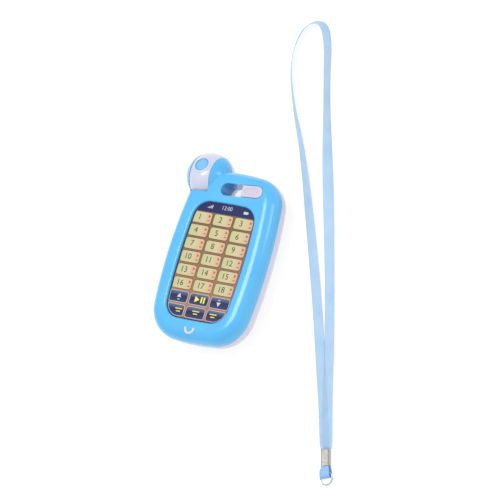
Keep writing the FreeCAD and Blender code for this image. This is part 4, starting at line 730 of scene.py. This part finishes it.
def field_ink(name, low, high):
    """The copper field, which darkens towards the top of the film."""
    material, tree = blank(name)
    spot = add(tree, "ShaderNodeTexCoord").outputs["Object"]
    parts = add(tree, "ShaderNodeSeparateXYZ", {0: spot})
    climb = add(tree, "ShaderNodeMapRange", {0: parts.outputs["Y"]}, in_1=FADE_LOW_Y, in_2=FADE_HIGH_Y)
    mottle = add(tree, "ShaderNodeTexNoise", {"Vector": spot}, in_Scale=MOTTLE_SCALE, in_Detail=3.0)
    uneven = add(tree, "ShaderNodeMath", {0: mottle.outputs["Fac"], 2: climb.outputs[0]},
                 operation="MULTIPLY_ADD", in_1=MOTTLE_SHARE)
    shade = add(tree, "ShaderNodeValToRGB", {"Fac": uneven.outputs[0]}, ((0.0, low), (1.0, high)))
    shader = add(tree, "ShaderNodeBsdfPrincipled", {"Base Color": shade.outputs["Color"]},
                 in_Roughness=0.35, **INK_GLOSS)
    add(tree, "ShaderNodeOutputMaterial", {"Surface": shader.outputs[0]})
    return material


def graded_ink(name, low, middle, high, roughness=0.35, axis="X"):
    """A key face that shades along an axis of each key."""
    material, tree = blank(name)
    share, spot = key_share(tree, axis)
    # for the blue keys these stops paint a reflection, darkest at the middle and lightest at the top; for
    # the cream keys they are a change of tint
    shade = add(tree, "ShaderNodeValToRGB", {"Fac": share}, ((0.08, low), (0.55, middle), (0.92, high)))
    mottle = add(tree, "ShaderNodeTexNoise", {"Vector": spot}, in_Scale=1 / (2.0 * MM), in_Detail=3.0)
    speck = add(tree, "ShaderNodeMath", {0: mottle.outputs["Fac"]}, operation="MULTIPLY",
                in_1=MOTTLE_SHARE)
    tinted = add(tree, "ShaderNodeMix", {0: speck.outputs[0], 6: shade.outputs["Color"]},
                 data_type="RGBA", blend_type="MULTIPLY", in_7=linear(MOTTLE_TINT))
    shader = add(tree, "ShaderNodeBsdfPrincipled", {"Base Color": tinted.outputs[2]},
                 in_Roughness=roughness, **INK_GLOSS)
    add(tree, "ShaderNodeOutputMaterial", {"Surface": shader.outputs[0]})
    return material


# the ground is printed on the film's back, so it is glossier than the inks on top
dress(["key_film"], ink("dark_blue_film_ground", "#161c52", "#1d2562", 0.28))
# brown pigment with a little metal powder: warm at the bottom, darker where it meets the ground
COPPER_INK = field_ink("copper_ink", "#a87458", "#7d5c3c")
# thick opaque pigments: even and half matt; the cream keys change softly in tint, and the blue keys carry a
# painted reflection, darkest at the middle and lightest at the top
CREAM_INK = graded_ink("cream_key_ink", "#c3c28e", "#cfc59a", "#d3b08c")
PAINTED_REFLECTION_BLUE_INK = graded_ink("blue_key_ink", "#2c3c70", "#151c4a", "#62739f", 0.3, "Y")
# thin lines and marks of one colour, dark or bright enough to read
EDGE_INK = ink("brown_edge_ink", "#4a3a22", "#57462c")
PALE_INK = ink("pale_outline_ink", "#b4b4bc", "#cfccd0")
GREEN_INK = ink("dark_green_number_ink", "#2c3a24", "#39482e")
RED_INK = ink("red_mark_ink", "#c23a2a", "#cf4a34")
YELLOW_INK = ink("yellow_mark_ink", "#e8dc4c", "#f2e868")
GREY_INK = ink("grey_mark_ink", "#b9bcd2", "#d2d4e4")
print("inks:", [m.name for m in bpy.data.materials if m.name.endswith("_ink")])

# %% [markdown]
# ## Printing the film
# First the copper field, clipped to the window so that a dark border stays round it, then the four
# runs of the key tree.  The plates differ by a few hundredths of a millimetre in height, so that none
# of them shares a face with another.

# %% Copper field, keys and the dark strip at the top
INK = 0.04 * MM             # one layer of ink
ROOT = 0.1 * MM             # how far the lowest plates reach into the film
EDGE_INSET, FACE_INSET, FIELD_INSET = 1.1 * MM, 1.6 * MM, 1.2 * MM     # bare margins inside the window
fences = [plates("window_fence", [film_edge(FILM_UNDER_CASE + inset)], film_top - 1 * MM,
                 film_top + 2 * MM, "phone") for inset in (EDGE_INSET, FACE_INSET)]
FIELD_WIDTH, FIELD_CORNER = 68.4, 3.0
FIELD_LOW_Y, FIELD_HIGH_Y = -60.5, 38.6
copper = clipped(rounded(FIELD_WIDTH, FIELD_HIGH_Y - FIELD_LOW_Y, FIELD_CORNER, 0.0,
                         (FIELD_HIGH_Y + FIELD_LOW_Y) / 2), film_edge(FILM_UNDER_CASE + FIELD_INSET))
field = plates("printed_copper_field", [copper], film_top - ROOT, film_top + INK, "phone")
field.data.materials.append(COPPER_INK)

key_rows = key_rows_tree()
KEY_WIDTH, KEY_HEIGHT, KEY_CORNER = 20.6, 10.9, 2.3
COLUMNS, UPPER_ROWS, LOWER_ROWS = 3, 6, 2
upper_middle = FIRST_ROW_Y - (UPPER_ROWS - 1) / 2 * ROW_PITCH
lower_middle = FIRST_ROW_Y - (UPPER_ROWS + (LOWER_ROWS - 1) / 2) * ROW_PITCH


def print_keys(name, rows, middle_y, shrink, height, fence, material):
    """Print a run of keys; shrink is how much smaller than a whole key they are, in millimetres."""
    return grown(name, key_rows, "phone", "key_film", columns=COLUMNS, rows=rows,
                 column_pitch=COLUMN_PITCH * MM, row_pitch=ROW_PITCH * MM,
                 middle=(MIDDLE_COLUMN_X * MM, middle_y * MM, film_top - ROOT),
                 key_width=(KEY_WIDTH - shrink) * MM, key_height=(KEY_HEIGHT - shrink) * MM,
                 corner=(KEY_CORNER - shrink / 2) * MM, ink_height=height + ROOT, window=fence,
                 ink=material)


printed = [
    print_keys("printed_cream_key_edges", UPPER_ROWS, upper_middle, 0.0, INK * 2, fences[0], EDGE_INK),
    print_keys("printed_cream_keys", UPPER_ROWS, upper_middle, 0.9, INK * 3, fences[1], CREAM_INK),
    print_keys("printed_blue_key_edges", LOWER_ROWS, lower_middle, 0.2, INK * 2, fences[0], PALE_INK),
    print_keys("printed_blue_keys", LOWER_ROWS, lower_middle, 1.2, INK * 3, fences[1], PAINTED_REFLECTION_BLUE_INK),
]
for fence in fences:
    bpy.data.objects.remove(fence)
print("keys:", [(piece.name, len(piece.data.polygons)) for piece in printed])

# %% [markdown]
# ## Numbers
# Each cream key gets a plain number.  It starts as a text curve, is turned into a mesh, and only then
# moved to its key, so the finished object stays at the origin.

# %% Numbers
FACE = film_top + INK * 3   # the top of the key faces
SUNK = 0.02 * MM            # marks start just inside the layer below
NUMBER_TALL, NUMBER_LEFT = 7.6 * MM, 2.6 * MM


def number_mesh(target, text, height, x, y, low, thick):
    """Add a number's raised shape to a bmesh, centred on x, y."""
    data = bpy.data.curves.new("number", "FONT")
    data.body = text
    data.size = height
    data.align_x, data.align_y = "CENTER", "CENTER"
    data.extrude = thick / 2
    data.resolution_u = 3
    mesh = mesh_of(data)
    mesh.transform(Matrix.Translation((x, y, low + thick / 2)))
    target.from_mesh(mesh)
    bpy.data.meshes.remove(mesh)


def number_piece(name, mesh, material):
    """The finished piece of a bmesh of numbers."""
    piece = piece_from(name, mesh)
    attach(piece, "phone")
    piece.data.materials.append(material)
    return piece


def key_place(column, row):
    """The middle of a key, in millimetres."""
    return MIDDLE_COLUMN_X + (column - 1) * COLUMN_PITCH, FIRST_ROW_Y - row * ROW_PITCH


numbers = bmesh.new()
for row in range(UPPER_ROWS):
    for column in range(COLUMNS):
        x, y = key_place(column, row)
        number_mesh(numbers, str(row * COLUMNS + column + 1), NUMBER_TALL, x * MM - NUMBER_LEFT,
                    y * MM, FACE - SUNK, INK * 2)
key_numbers = number_piece("printed_key_numbers", numbers, GREEN_INK)
print("numbers: %d faces" % len(key_numbers.data.polygons))

# %% [markdown]
# ## Signs
# The cream keys also carry a small red triangle over a dash.  The first blue row has an arrow up, a play
# and pause sign and an arrow down, the last has plain bars, and the dark strip at the top has signal
# bars, a clock and a battery.  All are flat outlines, so the same thin plates print them.

# %% Signs
RED_RIGHT = 7.2             # from a key's middle to its red marks, all in millimetres
DASH = 0.8                  # the height of a short stroke
BAR = 0.9                   # the height of a long one
MARK_CORNER = 0.3


def sign(name, outlines, material, low=FACE):
    """A printed sign from outlines in metres, just above the key faces."""
    piece = plates(name, outlines, low - SUNK, low + INK * 2, "phone")
    piece.data.materials.append(material)
    return piece


def triangle(size, x, y, turn):
    """A triangle that points a number of degrees from +X, in metres from values in millimetres."""
    angles = [math.radians(turn + step) for step in (0, 120, 240)]
    return [((x + size * math.cos(angle)) * MM, (y + size * math.sin(angle)) * MM) for angle in angles]


red = []
for row in range(UPPER_ROWS):
    for column in range(COLUMNS):
        x, y = key_place(column, row)
        red += [triangle(1.6, x + RED_RIGHT, y + 1.9, 0),
                rounded(2.6, DASH, MARK_CORNER, x + RED_RIGHT, y - 2.2, 2)]
sign("printed_red_marks", red, RED_INK)
arrow_y, bar_y = key_place(0, UPPER_ROWS)[1], key_place(0, UPPER_ROWS + 1)[1]
arrows = []
for column, way in ((0, 1), (2, -1)):
    x = key_place(column, UPPER_ROWS)[0] + way
    arrows += [triangle(2.6, x, arrow_y + 0.6 * way, 90 * way),
               rounded(2.4, DASH, 0.2, x, arrow_y - 2.6 * way, 2)]
sign("printed_arrow_marks", arrows, GREY_INK)
yellow = [triangle(3.3, -3.2, arrow_y, 0)]
yellow += [rounded(1.6, 5.6, MARK_CORNER, x, arrow_y, 2) for x in (2.2, 5.0)]
for width, y in ((7.5, bar_y + 1.4), (4.5, bar_y - 1.0)):
    yellow += [rounded(width, BAR, MARK_CORNER, x, y, 2) for x in (-18.5, 0.0, 18.5)]
sign("printed_yellow_marks", yellow, YELLOW_INK)
BATTERY_Y, CLOCK_Y, CLOCK_TALL = 43.0, 44.2, 5.2
status = [rounded(BAR, BAR + 0.8 * i, 0.15, -20.0 + 1.5 * i, 42.6 + 0.4 * i, 2) for i in range(4)]
status += [rounded(4.6, 2.4, 0.4, 20.5, BATTERY_Y, 3), rounded(0.7, 1.2, 0.2, 23.2, BATTERY_Y, 2)]
sign("printed_status_signs", status, GREY_INK, film_top + INK)
clock = bmesh.new()
number_mesh(clock, "12:00", CLOCK_TALL * MM, 0.0, CLOCK_Y * MM, film_top - SUNK, INK * 2)
number_piece("printed_clock_numbers", clock, GREY_INK)
print("signs: %d red, %d grey, %d yellow" % (len(red), len(arrows) + len(status), len(yellow)))

# %% [markdown]
# ## The mark on the button
# A small red disc is printed in the dish at the button's right end.  It rides on the button.

# %% Button mark
DISH_DEEP = 0.35 * MM
MARK_RADIUS, MARK_FROM_END, MARK_OFF_MIDDLE, MARK_THICK = 0.9 * MM, 4.6 * MM, 0.35 * MM, 0.03 * MM
mark_x, mark_y = button_high.x - MARK_FROM_END, button_middle.y + MARK_OFF_MIDDLE
turns = [math.tau * i / 24 for i in range(24)]
disc = [(mark_x + MARK_RADIUS * math.cos(turn), mark_y + MARK_RADIUS * math.sin(turn)) for turn in turns]
dish_floor = button_high.z - DISH_DEEP
mark = plates("printed_button_mark", [disc], dish_floor - SUNK, dish_floor + MARK_THICK,
              "power_button")
# a pale pad-printed red, which the white plastic shines through
mark.data.materials.append(ink("soft_red_mark_ink", "#e58d80", "#eb9a8c"))
print("button mark at", [round(v / MM, 1) for v in (mark_x, mark_y)])

# %% [markdown]
# ## The table
# The table is a plain pale floor.  A white floor under soft light would come out grey, so Light Path
# gives it two sides.  The camera, reflections and what is seen through clear plastic get a nearly white
# glow with a little grey paint over it, and the paint takes the object's soft shadow.  All other rays
# meet plain white paint, so the glow puts no light on the object.

# %% Table
TABLE_GLOW, SHADOW_PAINT = 0.82, 0.24
TABLE_REACH, TABLE_GAP = 4.0, 0.1 * MM


def table_paint():
    """White paint that looks white to the camera and keeps the shadow."""
    material, tree = blank("white_table_paint")
    spot = add(tree, "ShaderNodeTexCoord").outputs["Object"]
    cloud = add(tree, "ShaderNodeTexNoise", {"Vector": spot}, in_Scale=1 / (333 * MM))
    shade = add(tree, "ShaderNodeValToRGB", {"Fac": cloud.outputs["Fac"]}, between("#f4f4f4", "#f8f8f8"))
    paint = add(tree, "ShaderNodeBsdfDiffuse", {"Color": shade.outputs["Color"]})
    glow = add(tree, "ShaderNodeEmission", in_Strength=TABLE_GLOW)
    faint = add(tree, "ShaderNodeBsdfDiffuse", in_Color=(SHADOW_PAINT, SHADOW_PAINT, SHADOW_PAINT, 1.0))
    both = add(tree, "ShaderNodeAddShader", {0: faint.outputs[0], 1: glow.outputs[0]})
    rays = add(tree, "ShaderNodeLightPath").outputs
    shown = rays["Is Camera Ray"]
    for kind in ("Is Glossy Ray", "Is Transmission Ray"):
        shown = add(tree, "ShaderNodeMath", {0: shown, 1: rays[kind]}, operation="MAXIMUM").outputs[0]
    surface = add(tree, "ShaderNodeMixShader", {0: shown, 1: paint.outputs[0], 2: both.outputs[0]})
    add(tree, "ShaderNodeOutputMaterial", {"Surface": surface.outputs[0]})
    return material


floor_mesh = bmesh.new()
bmesh.ops.create_grid(floor_mesh, x_segments=1, y_segments=1, size=TABLE_REACH,
                      matrix=Matrix.Translation((0, 0, -TABLE_GAP)))
floor = piece_from("studio_table", floor_mesh)
floor.data.materials.append(table_paint())
print("table: %.0f m across" % floor.dimensions.x)

# %% [markdown]
# ## Lights
# The world gives an even fill, dimmer in reflections so that the glossy case keeps its colour.  One
# softbox hangs overhead, and a narrow one stands to the right and draws the long highlight down the
# rounded side.

# %% Lights
FILL, MIRRORED_FILL = 0.76, 0.40


def softbox(name, towards, distance, width, height, power):
    """An area light that shines on the phone from a direction."""
    data = bpy.data.lights.new(name, "AREA")
    data.shape = "RECTANGLE"
    data.size, data.size_y, data.energy = width, height, power
    lamp = bpy.data.objects.new(name, data)
    way = Vector(towards).normalized()
    turn = way.to_track_quat("Z", "Y").to_matrix().to_4x4()
    lamp.matrix_world = Matrix.Translation(way * distance) @ turn
    bpy.context.scene.collection.objects.link(lamp)
    return lamp


softbox("overhead_softbox", (-0.12, 0.12, 0.98), distance=1.5, width=0.7, height=0.7, power=9.3)
softbox("side_softbox", (0.86, 0.36, 0.36), distance=1.4, width=0.28, height=0.6, power=1.6)
world = bpy.data.worlds.new("studio_world")
bpy.context.scene.world = world
world.use_nodes = True
sky = world.node_tree
sky.nodes.clear()
rays = add(sky, "ShaderNodeLightPath").outputs
seen = add(sky, "ShaderNodeMath", {0: rays["Is Camera Ray"], 1: rays["Is Transmission Ray"]},
           operation="MAXIMUM")
dimmed = add(sky, "ShaderNodeMath", {0: rays["Is Glossy Ray"]}, operation="MULTIPLY_ADD",
             in_1=MIRRORED_FILL - FILL, in_2=FILL)
fill = add(sky, "ShaderNodeBackground", {"Strength": dimmed.outputs[0]}, in_Color=(1, 1, 1, 1))
white = add(sky, "ShaderNodeBackground", in_Color=(1, 1, 1, 1), in_Strength=1.0)
mixed = add(sky, "ShaderNodeMixShader", {0: seen.outputs[0], 1: fill.outputs[0], 2: white.outputs[0]})
add(sky, "ShaderNodeOutputWorld", {"Surface": mixed.outputs[0]})
bpy.context.scene.view_settings.view_transform = "Standard"
